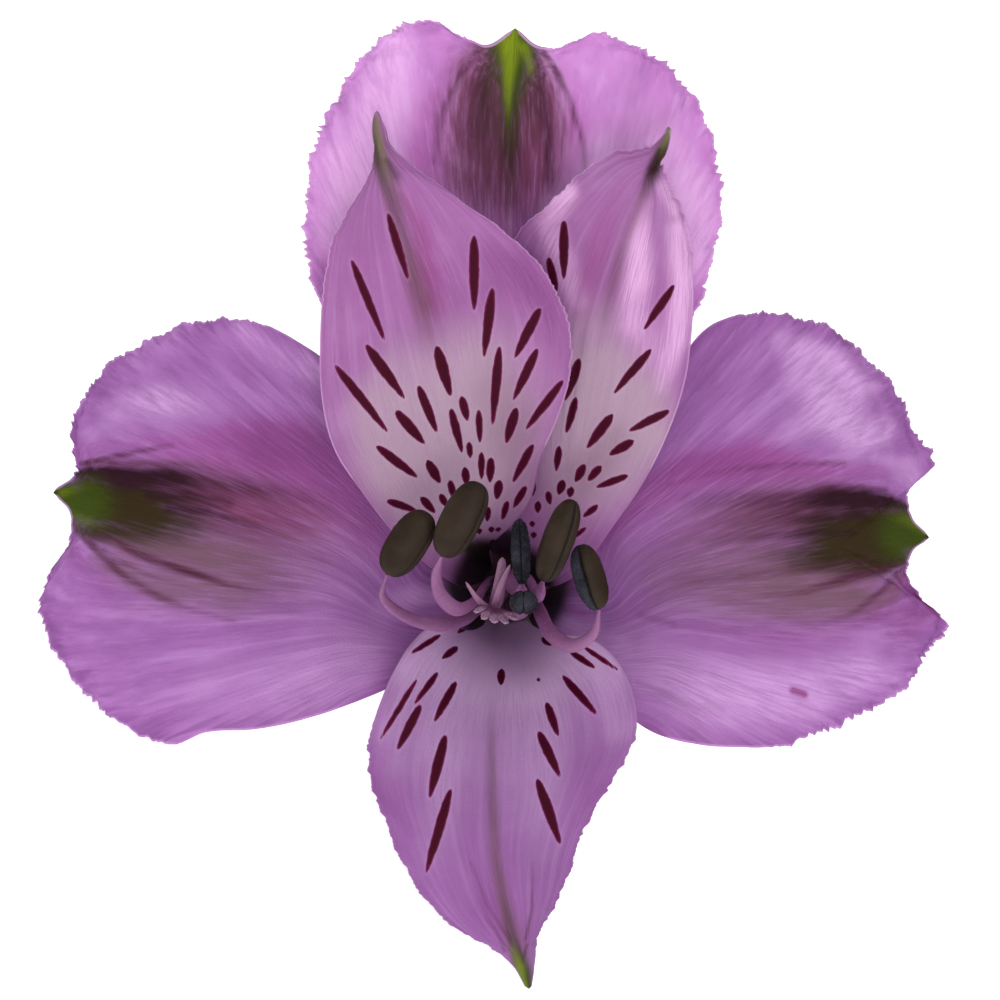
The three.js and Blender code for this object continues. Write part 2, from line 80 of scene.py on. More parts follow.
TEPAL_OUTER_LEFT_ROWS = (
    ((-1.6, -2.4, 0.4), (-2.5, -1.5, 0.4), (-2.9, -0.2, 0.4)),
    ((-2.4, -3.95, 6.4), (-4.1, -2.3, 6.2), (-4.75, 1.2, 6.4)),
    ((-4.2, -5.3, 11.2), (-6.8, -2.5, 10.6), (-6.1, 2.4, 11)),
    ((-7.2, -6.6, 14.8), (-10.2, -1.2, 14.2), (-6.7, 6.4, 14.3)),
    ((-11, -8.2, 16.8), (-14, 0.7, 16.4), (-9, 10.8, 16.8)),
    ((-14.6, -9.4, 17.6), (-17.4, 2.4, 17.8), (-12.2, 15.4, 18.6)),
    ((-18, -10.1, 17.7), (-19.4, 3.3, 18.5), (-15, 17.6, 19.2)),
    ((-21.5, -10.3, 17.4), (-21.2, 4, 18.9), (-18, 19, 19.2)),
    ((-24.3, -11.2, 17), (-23.01, 4.64, 19.11), (-21.6, 19.2, 18.8)),
    ((-28.5, -9.25, 16.9), (-24.49, 5.13, 19.2), (-25, 18.1, 18.2)),
    ((-31.05, -6.6, 17), (-25.46, 5.41, 19.21), (-28.4, 16.1, 17.8)),
    ((-32.8, -3.8, 17), (-26.86, 5.74, 19.12), (-30.3, 13.7, 17.6)),
    ((-33.5, -1.4, 17.1), (-27.43, 5.89, 19.07), (-31.2, 11.6, 17.6)),
    ((-32.8, 1.1, 17.3), (-27.81, 6, 19.04), (-31.1, 9.6, 17.8)),
    ((-31.36, 3.29, 17.7), (-28.27, 6.12, 18.99), (-30.9, 8.51, 18)),
    ((-31.26, 5.42, 18), (-29.15, 6.29, 18.81), (-31.19, 7.78, 18.1)),
    ((-32.3, 6.6, 18.1), (-32.5, 6.8, 18.1), (-32.3, 7.1, 18.1)),
)
TEPAL_OUTER_RIGHT_ROWS = (
    ((2.9, -0.2, 0.4), (2.5, -1.5, 0.4), (1.6, -2.4, 0.4)),
    ((4.75, 1.2, 6.4), (4.1, -2.3, 6.2), (2.4, -3.95, 6.4)),
    ((6.1, 2.4, 11), (6.8, -2.5, 10.6), (4.2, -5.3, 11.2)),
    ((6.6, 6.4, 13.6), (9.8, -1.7, 14.2), (7.2, -8, 14.8)),
    ((8.9, 10.6, 16), (13.2, -0.2, 16.4), (10.3, -10.3, 16.8)),
    ((11.6, 15.2, 17.4), (16.2, 1.2, 17.8), (13.6, -11.2, 17.6)),
    ((14.15, 18.55, 18), (17.61, 1.68, 18.37), (16.6, -11.4, 17.8)),
    ((17.2, 19.6, 17.6), (19.52, 2.23, 18.85), (19.6, -11.3, 17.6)),
    ((20.4, 19.5, 17), (20.67, 2.52, 19.02), (22.6, -10.3, 17.4)),
    ((23.6, 18.3, 16.6), (21.83, 2.79, 19.14), (25.5, -8.9, 17.2)),
    ((26.2, 16, 16.6), (22.3, 2.89, 19.17), (28.25, -7.3, 17.1)),
    ((28.21, 13.5, 16.8), (22.52, 2.93, 19.18), (30.1, -4.7, 17.1)),
    ((29, 11.23, 17.1), (22.75, 2.97, 19.19), (31.3, -2.5, 17.3)),
    ((30.57, 9.03, 17.4), (23.04, 3.03, 19.2), (29.46, -0.61, 17.6)),
    ((28.7, 6.94, 17.8), (23.62, 3.12, 19.21), (28.6, 1.2, 18)),
    ((28.84, 5.04, 18.1), (25.44, 3.3, 19.1), (28.89, 2.64, 18.1)),
    ((29.9, 3.9, 18.1), (30.1, 3.6, 18.1), (29.9, 3.4, 18.1)),
)
TEPAL_INNER_LEFT_ROWS = (
    ((-2, 0.3, 0.4), (-1.8, 1, 0.4), (-1.2, 1.6, 0.4)),
    ((-3.45, 0.1, 6.4), (-2.8, 2, 6.2), (-1.25, 2.95, 6.4)),
    ((-5.5, 1.4, 12), (-3.4, 3.7, 11.4), (0.2, 4.5, 11.8)),
    ((-8, 3.7, 16.6), (-3.4, 6.4, 15.8), (1.6, 6.3, 16)),
    ((-10.4, 6.8, 19.6), (-3.5, 9.6, 19.2), (2.3, 9.2, 19.4)),
    ((-12.4, 9.9, 21.6), (-3.9, 13, 21.8), (3.5, 12, 21.6)),
    ((-13.3, 13.6, 23), (-4.6, 16.4, 23.6), (4.4, 15, 23.4)),
    ((-13.4, 17.4, 24), (-5.5, 19.8, 25), (4.5, 18.2, 24.8)),
    ((-13.2, 21, 24.8), (-6.49, 22.79, 26.19), (3.6, 20.8, 26.2)),
    ((-12.7, 24.2, 25.8), (-7.48, 25.35, 27.18), (2, 23.3, 27.4)),
    ((-11.5, 26.7, 27), (-8.43, 28.37, 28.54), (-0.4, 25.5, 28.4)),
    ((-10.2, 28.69, 28.2), (-8.81, 30.1, 29.31), (-3, 27.3, 29.2)),
    ((-9.63, 30.08, 29), (-8.86, 30.74, 29.51), (-6.04, 29.51, 29.77)),
    ((-9.5, 31.39, 29.57), (-9.13, 32.25, 30.09), (-8.18, 31.19, 30.1)),
    ((-9.6, 32.67, 30), (-9.27, 33.56, 30.38), (-8.7, 32.56, 30.18)),
    ((-9.5, 33.7, 30.4), (-9.3, 33.9, 30.4), (-9.1, 33.7, 30.4)),
)
TEPAL_INNER_RIGHT_ROWS = (
    ((1.2, 1.6, 0.4), (1.8, 1, 0.4), (2, 0.3, 0.4)),
    ((1.5, 2.8, 6.4), (2.8, 2, 6.2), (3.45, 0.1, 6.4)),
    ((0.4, 5.1, 11), (3.6, 3.6, 10.8), (5.4, 1.4, 11.4)),
    ((0.9, 7.7, 14.6), (4.2, 6.2, 14.6), (7.4, 4.2, 15.4)),
    ((0.6, 10.4, 17.4), (4.5, 9.4, 17.6), (9.6, 7.4, 18.2)),
    ((0.2, 13.4, 19.4), (4.9, 13, 20), (11.4, 11, 20.2)),
    ((-0.3, 16.6, 21), (5.4, 16.4, 21.8), (12.6, 14.6, 21.6)),
    ((-0.6, 19.6, 22.2), (6.1, 19.6, 23.2), (13.1, 18.2, 22.6)),
    ((-0.4, 22.4, 23.2), (6.94, 22.22, 24.33), (13.2, 21.6, 23.4)),
    ((0.6, 25.2, 24.4), (8.03, 25.07, 25.43), (13, 24.6, 24.2)),
    ((2.7, 27.2, 25.4), (9, 27.42, 26.28), (12.4, 27, 25.2)),
    ((5, 29.4, 26.2), (9.45, 28.37, 26.62), (11.6, 28.8, 26.2)),
    ((7.43, 31.04, 26.8), (9.63, 28.87, 26.76), (10.91, 30.1, 27)),
    ((9.91, 31.41, 27.2), (9.98, 29.59, 27.01), (11.31, 31.03, 27.4)),
    ((10.76, 31.96, 27.62), (10.58, 30.91, 27.46), (11.53, 31.91, 27.71)),
    ((11.2, 32.6, 28), (11.4, 32.8, 28), (11.6, 32.6, 28)),
)
TEPAL_INNER_LOWER_ROWS = (
    ((0.7, -1.9, 0.4), (0, -2, 0.4), (-0.7, -1.9, 0.4)),
    ((1.9, -2.85, 6.4), (0, -3.4, 6.2), (-1.9, -2.85, 6.4)),
    ((3.4, -3.4, 12), (-0.1, -4.9, 11.2), (-3, -3.1, 12)),
    ((5.8, -3.6, 16), (-0.6, -7, 15.2), (-5.1, -2.6, 16)),
    ((7.9, -5.3, 18.4), (-1, -9.8, 18.2), (-7, -4.1, 18.4)),
    ((9, -7.9, 19.6), (-1.1, -12.5, 20), (-8.6, -6.9, 19.6)),
    ((9.1, -10.6, 20), (-1.1, -14.9, 21), (-9.8, -10.3, 20)),
    ((7.8, -13.2, 20.4), (-1.1, -17.2, 21.6), (-9.9, -13.4, 20.2)),
    ((6.2, -15.8, 20.6), (-1, -19.3, 21.8), (-8.8, -16.6, 20.4)),
    ((5, -18.4, 20.6), (-0.7, -21.3, 21.8), (-7.6, -19.5, 20.4)),
    ((4.2, -20.8, 20.4), (-0.2, -23.1, 21.6), (-6, -22.1, 20.2)),
    ((3.1, -23, 20.2), (0.3, -24.7, 21.2), (-3.7, -24.3, 20.2)),
    ((2.1, -24.9, 20), (0.8, -26.1, 20.6), (-1.1, -25.7, 20)),
    ((1.8, -26.7, 19.6), (1.2, -27.3, 19.8), (0.5, -27, 19.6)),
    ((1.7, -28.4, 19.2), (1.5, -28.6, 19.2), (1.2, -28.4, 19.2)),
)

# Guide flecks on the inner tepals: x, y of the outer end, x, y of the inner end, half-width.
FLECKS_LEFT = (
    (-8.5, 26.7, -7.1, 22.1, 0.24), (-11.1, 23.4, -8.8, 17.7, 0.24), (-2.4, 25.1, -2.4, 19.9, 0.29),
    (-1.1, 21.4, -1.7, 16.6, 0.29), (-10.1, 17.4, -7.4, 13.6, 0.31),
    (-12.3, 15.9, -8.6, 11.2, 0.27), (-5.1, 17.3, -4.1, 13.8, 0.33), (-0.6, 17.3, -1.1, 11.8, 0.27),
    (2.3, 20, 0.5, 16.5, 0.29), (2.1, 17.1, 0.4, 13.5, 0.27), (3.9, 14.8, 1.3, 11.4, 0.25),
    (-6.4, 14.5, -5.1, 11.2, 0.27), (-8, 12.7, -6, 10.4, 0.31), (-4.1, 12.9, -3.3, 9.8, 0.24),
    (-3.3, 13.7, -2.9, 12, 0.25), (-2.1, 12.8, -2, 10.5, 0.19), (0.6, 12.9, -0.1, 10.5, 0.29),
    (-9.4, 10.2, -6.5, 8, 0.27), (-5.8, 9.2, -4.9, 7.6, 0.29), (-2.8, 10.5, -2.7, 9.4, 0.19),
    (-1.9, 9.8, -1.9, 7.9, 0.19), (-1.2, 9.4, -1.3, 7.7, 0.25), (1.8, 10.3, 0.4, 7.7, 0.25),
    (-3.1, 8.7, -3, 7.5, 0.23), (-8.7, 6.3, -6.6, 5.6, 0.23), (-6.3, 6.6, -5.3, 5.5, 0.23),
    (-4.9, 6.8, -4.4, 5.9, 0.21), (-4.2, 7.8, -3.9, 6.5, 0.21), (-0.6, 7.8, -0.8, 6.5, 0.27),
    (1.3, 7.3, 0.4, 5.8, 0.21), (0, 6.3, -0.4, 5, 0.19), (-1.4, 5.9, -1.5, 4.9, 0.17),
    (0.3, 4.4, -0.3, 3.3, 0.14), (-2.1, 4.4, -2.1, 4, 0.18), (-1.2, 4.5, -1.2, 4.1, 0.19),
    (-0.7, 4.4, -0.7, 4.1, 0.17), (-1.1, 3.5, -1.1, 3.1, 0.19),
)
FLECKS_RIGHT = (
    (4, 26.2, 4, 22.1, 0.27), (2.9, 23.6, 3.5, 21.2, 0.24), (11.8, 21.6, 9.7, 18.5, 0.24),
    (10.2, 17.1, 7.6, 14, 0.25), (5.1, 16.4, 4.1, 13.5, 0.29), (4.9, 13.7, 4.2, 11.2, 0.23),
    (11.5, 12.7, 8.7, 11.3, 0.25), (7.5, 12.5, 5.7, 10.1, 0.29), (9, 10.6, 7.3, 9.6, 0.27),
    (3.7, 10.2, 3.5, 8.5, 0.21), (5.5, 8.9, 4.9, 7.7, 0.25), (6.7, 8.8, 5.8, 7.8, 0.25),
    (8.6, 8.1, 6.4, 7.3, 0.21), (1.8, 7.8, 1.8, 6.7, 0.19), (4, 7.8, 3.7, 6.8, 0.25),
    (2.9, 7, 3.1, 6.1, 0.19), (4.6, 7.3, 4.5, 6.6, 0.21), (2.2, 6.3, 2.2, 5.5, 0.19),
    (6.5, 6, 5.5, 5.2, 0.19), (5.7, 4.4, 4.7, 3.6, 0.13), (1.8, 4.9, 1.8, 4.5, 0.17),
    (1.9, 4.1, 1.9, 3.7, 0.18),
)
FLECKS_LOWER = (
    (-4.9, -3.4, -7, -4.7, 0.16), (-3, -2.8, -3.7, -3.3, 0.14), (-3.7, -4.3, -4.8, -5.1, 0.2),
    (-6.6, -6.6, -9.1, -10.8, 0.16), (-5.1, -6.1, -6.7, -8.3, 0.18),
    (-6.3, -8.4, -7.9, -11.6, 0.26), (-3.8, -6.8, -5.3, -9.6, 0.24), (-4.5, -10.6, -5.6, -15, 0.3),
    (-4.1, -14.4, -5.8, -20.3, 0.28), (-0.5, -6, -0.5, -7.1, 0.24), (2.5, -3.7, 3.2, -4.2, 0.2),
    (4.5, -4.6, 6.3, -5.8, 0.18), (5.5, -4.3, 7.9, -5.9, 0.14), (4, -6.4, 6.4, -9.1, 0.24),
    (2.8, -8.3, 3.6, -10.6, 0.24), (2.2, -10.3, 3.7, -13.5, 0.28), (2.1, -13.7, 3.7, -18.3, 0.3),
    (-6.7, -3.3, -6.6, -3.4, 0.12), (2.2, -6.6, 2.3, -6.8, 0.12),
)


class Mark(Enum):
    """Zones of colour of a tepal, each an attribute of its mesh: mostly pigments, with painted
    light and painted shade.
    """

    PALE = "pale"
    # painted light: lit parts and highlights
    GLOW = "glow"
    # darker purple: partly pigment, partly painted shade where a tepal folds or bends away
    DUSK_AND_SHADE = "dusk_and_shade"
    MAGENTA = "magenta"
    WINE = "wine"
    MAUVE = "mauve"
    VEIN = "vein"
    OLIVE = "olive"
    PLUM = "plum"
    GREEN = "green"
    LIME = "lime"


# The short names of the marks, in the order of the class.
PALE, GLOW, DUSK_AND_SHADE, MAGENTA, WINE, MAUVE, VEIN, OLIVE, PLUM, GREEN, LIME = Mark

# Strokes of colour on each tepal: the mark, then the stroke's points, each x, y, half-width and
# strength. They are soft at their sides. Most are pigment; some are painted light, for lit parts
# and highlights, and some are darker pigment with painted shade.
STROKES_TOP = (
    (LIME, (0.5, 39.9, 0.4, 0.5), (0.1, 38.9, 0.9, 0.65), (0.1, 37.8, 0.7, 0.6),
     (0.05, 36.6, 0.5, 0.55), (0, 35.2, 0.35, 0.5), (0, 33.6, 0.3, 0.2), (0, 32, 0.3, 0)),
    (LIME, (1.2, 38.6, 0.4, 0.4), (1.6, 37.2, 0.35, 0.4), (1.7, 36, 0.3, 0)),
    (GREEN, (0.6, 40, 0.6, 1), (0.4, 38.8, 1.9, 1), (0.4, 37.6, 1.7, 0.9), (0.3, 36.2, 1.2, 0.8),
     (0.2, 34.8, 0.8, 0.65), (0.1, 33, 0.7, 0.4), (0.1, 31, 0.6, 0.2), (0.1, 29, 0.5, 0)),
    (OLIVE, (-1, 38.7, 0.5, 0.3), (-1.4, 36.8, 0.8, 0.5), (-1.5, 35, 1, 0.5), (-1.3, 32.6, 1, 0.35),
     (-1, 30, 0.9, 0)),
    (OLIVE, (0.3, 36.4, 0.8, 0.4), (0.3, 34.6, 0.9, 0.6), (0.2, 32, 0.9, 0.6), (0.2, 29, 0.9, 0.45),
     (0.15, 26, 0.9, 0.15), (0.1, 22, 0.8, 0)),
    (OLIVE, (1.9, 38, 0.45, 0.4), (1.9, 36, 0.8, 0.45), (1.8, 34, 0.7, 0.45), (1.6, 32, 0.7, 0.2)),
    (PLUM, (-1.9, 38.4, 0.5, 0.2), (-2.1, 36, 0.9, 0.35), (-2.1, 33.6, 1.2, 0.4),
     (-2.2, 31, 1.4, 0.35), (-2.2, 28, 1.5, 0.15), (-2, 24, 1.6, 0)),
    (PLUM, (2.3, 38, 0.3, 0.2), (2.5, 35.5, 0.5, 0.4), (2.7, 33, 0.5, 0.55), (2.9, 30.6, 0.45, 0.5),
     (3, 28.4, 0.4, 0.2)),
    (PLUM, (0.2, 31, 1.2, 0.3), (0.2, 28, 1.5, 0.25), (0.2, 24, 1.6, 0)),
    (VEIN, (-2.1, 38.4, 0.3, 0.5), (-3.4, 36.6, 0.34, 0.6), (-4.7, 34, 0.34, 0.5),
     (-5.3, 30.5, 0.34, 0.4)),
    (VEIN, (2.6, 38.2, 0.3, 0.6), (3.5, 36.8, 0.3, 0.75), (4.4, 34.7, 0.3, 0.65),
     (5.3, 32, 0.3, 0.55), (5.6, 29, 0.3, 0.35)),
    (VEIN, (-1.2, 34, 0.3, 0.3), (-1.3, 29, 0.3, 0.3), (-1.2, 25, 0.3, 0.2)),
    (WINE, (-1, 38.8, 1.8, 0.7), (-1.4, 36, 3.1, 0.9), (-1.4, 33, 4, 0.95), (-1.2, 30, 4, 0.85),
     (-0.6, 28, 3.4, 0.55), (0, 26, 3, 0.35), (0, 20, 3, 0.2)),
    (WINE, (1.8, 38.2, 0.9, 0.5), (2.2, 36, 1.6, 0.75), (2.4, 33, 2.2, 0.8), (2.2, 30, 2.2, 0.7),
     (1.6, 28, 1.8, 0.4)),
    (MAUVE, (-1.4, 36.6, 0.9, 0.35), (-1.8, 34, 1.4, 0.4), (-2, 31, 1.8, 0.35),
     (-1.8, 27, 1.8, 0.25)),
    (MAUVE, (-2.4, 38.6, 0.6, 0.4), (-3.2, 37, 0.7, 0.3), (-4, 34.6, 0.8, 0.2)),
    (MAGENTA, (-4.4, 36.6, 1, 0.25), (-5.4, 33.6, 1.2, 0.4), (-6, 31, 1.5, 0.55),
     (-6.4, 26, 2.2, 0.55)),
    (MAGENTA, (4.7, 35.6, 0.8, 0.3), (5, 33, 1, 0.5), (5.2, 31, 0.8, 0.4), (5.2, 28.6, 0.7, 0)),
    # darker purple: partly pigment, partly painted shade
    (DUSK_AND_SHADE, (-5, 39.9, 0.4, 0.4), (-6.4, 39.6, 0.4, 0.25)),
    (DUSK_AND_SHADE, (-12.6, 36, 0.7, 0.35), (-11.6, 34.2, 0.6, 0.3)),
    (DUSK_AND_SHADE, (9.6, 37.4, 1, 0.3), (8.8, 35, 1, 0.25)),
    (DUSK_AND_SHADE, (12.6, 34.4, 1, 0.35), (11, 33.2, 1, 0.25)),
    # painted light: lit flanks and highlights
    (GLOW, (-12.4, 30.6, 1.3, 0.5), (-11, 28, 1.5, 0.9), (-10.2, 25.4, 1.1, 0.7)),
    (GLOW, (-8, 38.6, 1.8, 0.7), (-8.6, 36, 2.2, 0.75), (-9.6, 32, 2.6, 0.8), (-11, 26, 2.6, 0.8)),
    (GLOW, (-13.6, 30, 1.4, 0.1), (-13.6, 24, 1.4, 0.2)),
    (GLOW, (7.6, 37.6, 1.6, 0.3), (9, 35, 1.8, 0.2), (10.8, 31, 2.4, 0.7), (12.4, 28, 2.4, 1),
     (13, 24, 2.2, 0.9)),
    (GLOW, (6, 33.4, 1, 0.2), (6.4, 31, 1.8, 0.8), (6.2, 28.6, 2, 1), (7, 26, 1.6, 0.8)),
    (GLOW, (3.4, 28.6, 0.9, 0.4), (2.8, 27, 1, 0.8)),
    (GLOW, (-6, 29, 1.4, 0.3), (-5, 26, 1.2, 0.4)),
)
STROKES_LEFT = (
    (LIME, (-31.8, 6.8, 0.4, 0.3), (-30.4, 7.2, 0.4, 0.15), (-28.8, 7, 0.3, 0)),
    (LIME, (-31.2, 5.4, 0.4, 0.15), (-30, 4.8, 0.4, 0.2), (-28.6, 4.4, 0.3, 0)),
    (GREEN, (-32.5, 6.6, 0.6, 1), (-31.4, 6.3, 1.5, 1), (-30.2, 6, 1.9, 0.95), (-29, 5.9, 1.3, 0.4),
     (-27.8, 6, 0.8, 0.1)),
    (OLIVE, (-30.4, 7.6, 0.6, 0.6), (-29.4, 6.8, 1, 0.9), (-28, 6.6, 1, 1), (-26.4, 6.6, 0.8, 0.9),
     (-24, 6.5, 0.5, 0.5), (-21, 6.2, 0.5, 0.2)),
    (OLIVE, (-30.2, 5.8, 0.4, 0.5), (-29, 5.6, 0.8, 1), (-26, 5.3, 1, 1), (-24, 5, 0.85, 0.7),
     (-21.6, 4.5, 0.7, 0.35), (-18.5, 3.8, 0.6, 0.15)),
    (OLIVE, (-30.6, 4.2, 0.5, 0.5), (-29.4, 4, 0.9, 0.7), (-27.8, 4, 1, 0.65), (-25.6, 3.9, 1, 0.6),
     (-23.4, 3.8, 1, 0.45), (-21, 3.4, 0.9, 0.2), (-18, 2.8, 0.9, 0)),
    (OLIVE, (-29, 6.4, 1.2, 0.5), (-26, 6, 1.3, 0.5), (-23, 5.6, 1.2, 0.15)),
    (PLUM, (-31.1, 8.1, 0.3, 0.6), (-29.8, 8.2, 0.6, 0.9), (-27.4, 7.9, 0.9, 0.95),
     (-24, 7.8, 0.95, 0.85), (-21.4, 7.5, 0.9, 0.5), (-18, 7.1, 0.85, 0.45), (-15, 6.4, 0.8, 0.25),
     (-12.5, 5.6, 0.7, 0.1)),
    (PLUM, (-25.6, 6.6, 0.4, 0.5), (-23, 6.5, 0.5, 0.6), (-20, 6, 0.5, 0.4)),
    (PLUM, (-24.2, 5.7, 0.4, 0.6), (-21.5, 5.4, 0.4, 0.7), (-19, 4.7, 0.35, 0.45),
     (-15, 3.3, 0.35, 0.15)),
    (VEIN, (-29.6, 4, 0.26, 0.5), (-28, 3.3, 0.3, 0.7), (-26.4, 2.4, 0.33, 0.9),
     (-24.8, 1.8, 0.38, 1), (-22.4, 1, 0.33, 0.95), (-20, 0.2, 0.27, 0.7),
     (-16.8, -0.4, 0.26, 0.35)),
    (VEIN, (-31, 4.6, 0.26, 0.6), (-30, 3.4, 0.38, 0.8), (-28.8, 2.1, 0.38, 0.75),
     (-27.2, 0.7, 0.38, 0.65), (-25, -0.6, 0.33, 0.6), (-22.6, -1.5, 0.3, 0.45),
     (-19.6, -2.4, 0.3, 0.35)),
    (VEIN, (-28.8, 2.7, 0.26, 0.5), (-27, 1.6, 0.26, 0.5), (-25, 0.6, 0.26, 0.35),
     (-22, -0.2, 0.26, 0.2)),
    (VEIN, (-30.4, 8.9, 0.26, 0.8), (-28, 9.4, 0.26, 0.7), (-25.6, 9.9, 0.26, 0.6),
     (-24, 10.2, 0.26, 0.4)),
    (VEIN, (-28.4, 8.9, 0.26, 0.5), (-25, 8.9, 0.26, 0.5), (-22.6, 8.8, 0.26, 0.5),
     (-20, 8.2, 0.26, 0.3)),
    (WINE, (-29.6, 8.6, 0.9, 0.5), (-26, 7.6, 1.6, 0.7), (-22, 6.6, 2.4, 0.85),
     (-18, 5.6, 2.8, 0.8), (-14, 4.8, 2.8, 0.6), (-10, 3.6, 2.4, 0.3)),
    (WINE, (-27, 3, 1.4, 0.4), (-22, 2, 1.8, 0.4), (-18, 1.4, 1.8, 0.3)),
    (MAUVE, (-30.4, 4.3, 0.4, 0.5), (-28.5, 3.7, 0.9, 0.8), (-26, 3.3, 1.3, 0.95),
     (-22.5, 2.6, 1.7, 0.9), (-19, 2, 2.1, 0.75), (-15, 1.6, 2.4, 0.5), (-11, 1, 2.4, 0.2)),
    (MAUVE, (-29.4, 2, 0.8, 0.5), (-27, 1, 1.3, 0.7), (-24, 0, 1.6, 0.75), (-20, -0.6, 1.7, 0.65),
     (-16, -0.8, 1.8, 0.3)),
    (MAUVE, (-27, 8.9, 0.35, 0.4), (-22, 8.9, 0.4, 0.4)),
    (MAGENTA, (-30.5, 9.8, 0.9, 0.3), (-27, 10.2, 1.2, 0.4), (-23, 10, 1.6, 0.7),
     (-19, 10, 2.2, 0.9), (-15.5, 9.6, 2.9, 0.9), (-12, 7.6, 2.7, 0.75), (-9, 4, 2, 0.5)),
    # darker purple: partly pigment, partly painted shade beside the inner tepal
    (DUSK_AND_SHADE, (-20, 10.2, 1.4, 0.4), (-17.4, 10.4, 2, 0.95), (-14.4, 9.8, 2.1, 0.85),
     (-11.4, 7, 1.7, 0.4)),
    (DUSK_AND_SHADE, (-16, 3.6, 1.6, 0.2), (-13, 2.2, 2, 0.35), (-10, 1.2, 1.6, 0.2)),
    (DUSK_AND_SHADE, (-19, 16.6, 1.2, 0.35), (-17.6, 14.6, 1.6, 0.3)),
    (DUSK_AND_SHADE, (-30.8, 2.4, 0.9, 0.5), (-28, -0.8, 1.4, 0.4), (-24, -2, 1.4, 0.3)),
    # painted light: highlights and lit parts, and lift over the shade near the throat
    (GLOW, (-19.3, 18.6, 0.8, 0.5), (-17.4, 17, 1.1, 0.45), (-15.2, 16, 1.4, 0.4),
     (-13, 15.8, 1.5, 0.8)),
    (GLOW, (-27.4, 13.2, 1.2, 0.4), (-24.8, 13.4, 1.5, 0.7), (-21, 12.8, 1.3, 0.3)),
    (GLOW, (-30, 10.9, 0.8, 0.3), (-28.4, 12, 1, 0.25)),
    (GLOW, (-21, -7.5, 2.6, 0.3), (-15, -7, 3, 0.45), (-10, -5.4, 3, 0.5)),
    (GLOW, (-9, -1.4, 1.2, 0.3), (-7, -0.6, 1, 0.6), (-5.4, -0.6, 0.8, 0.4)),
)
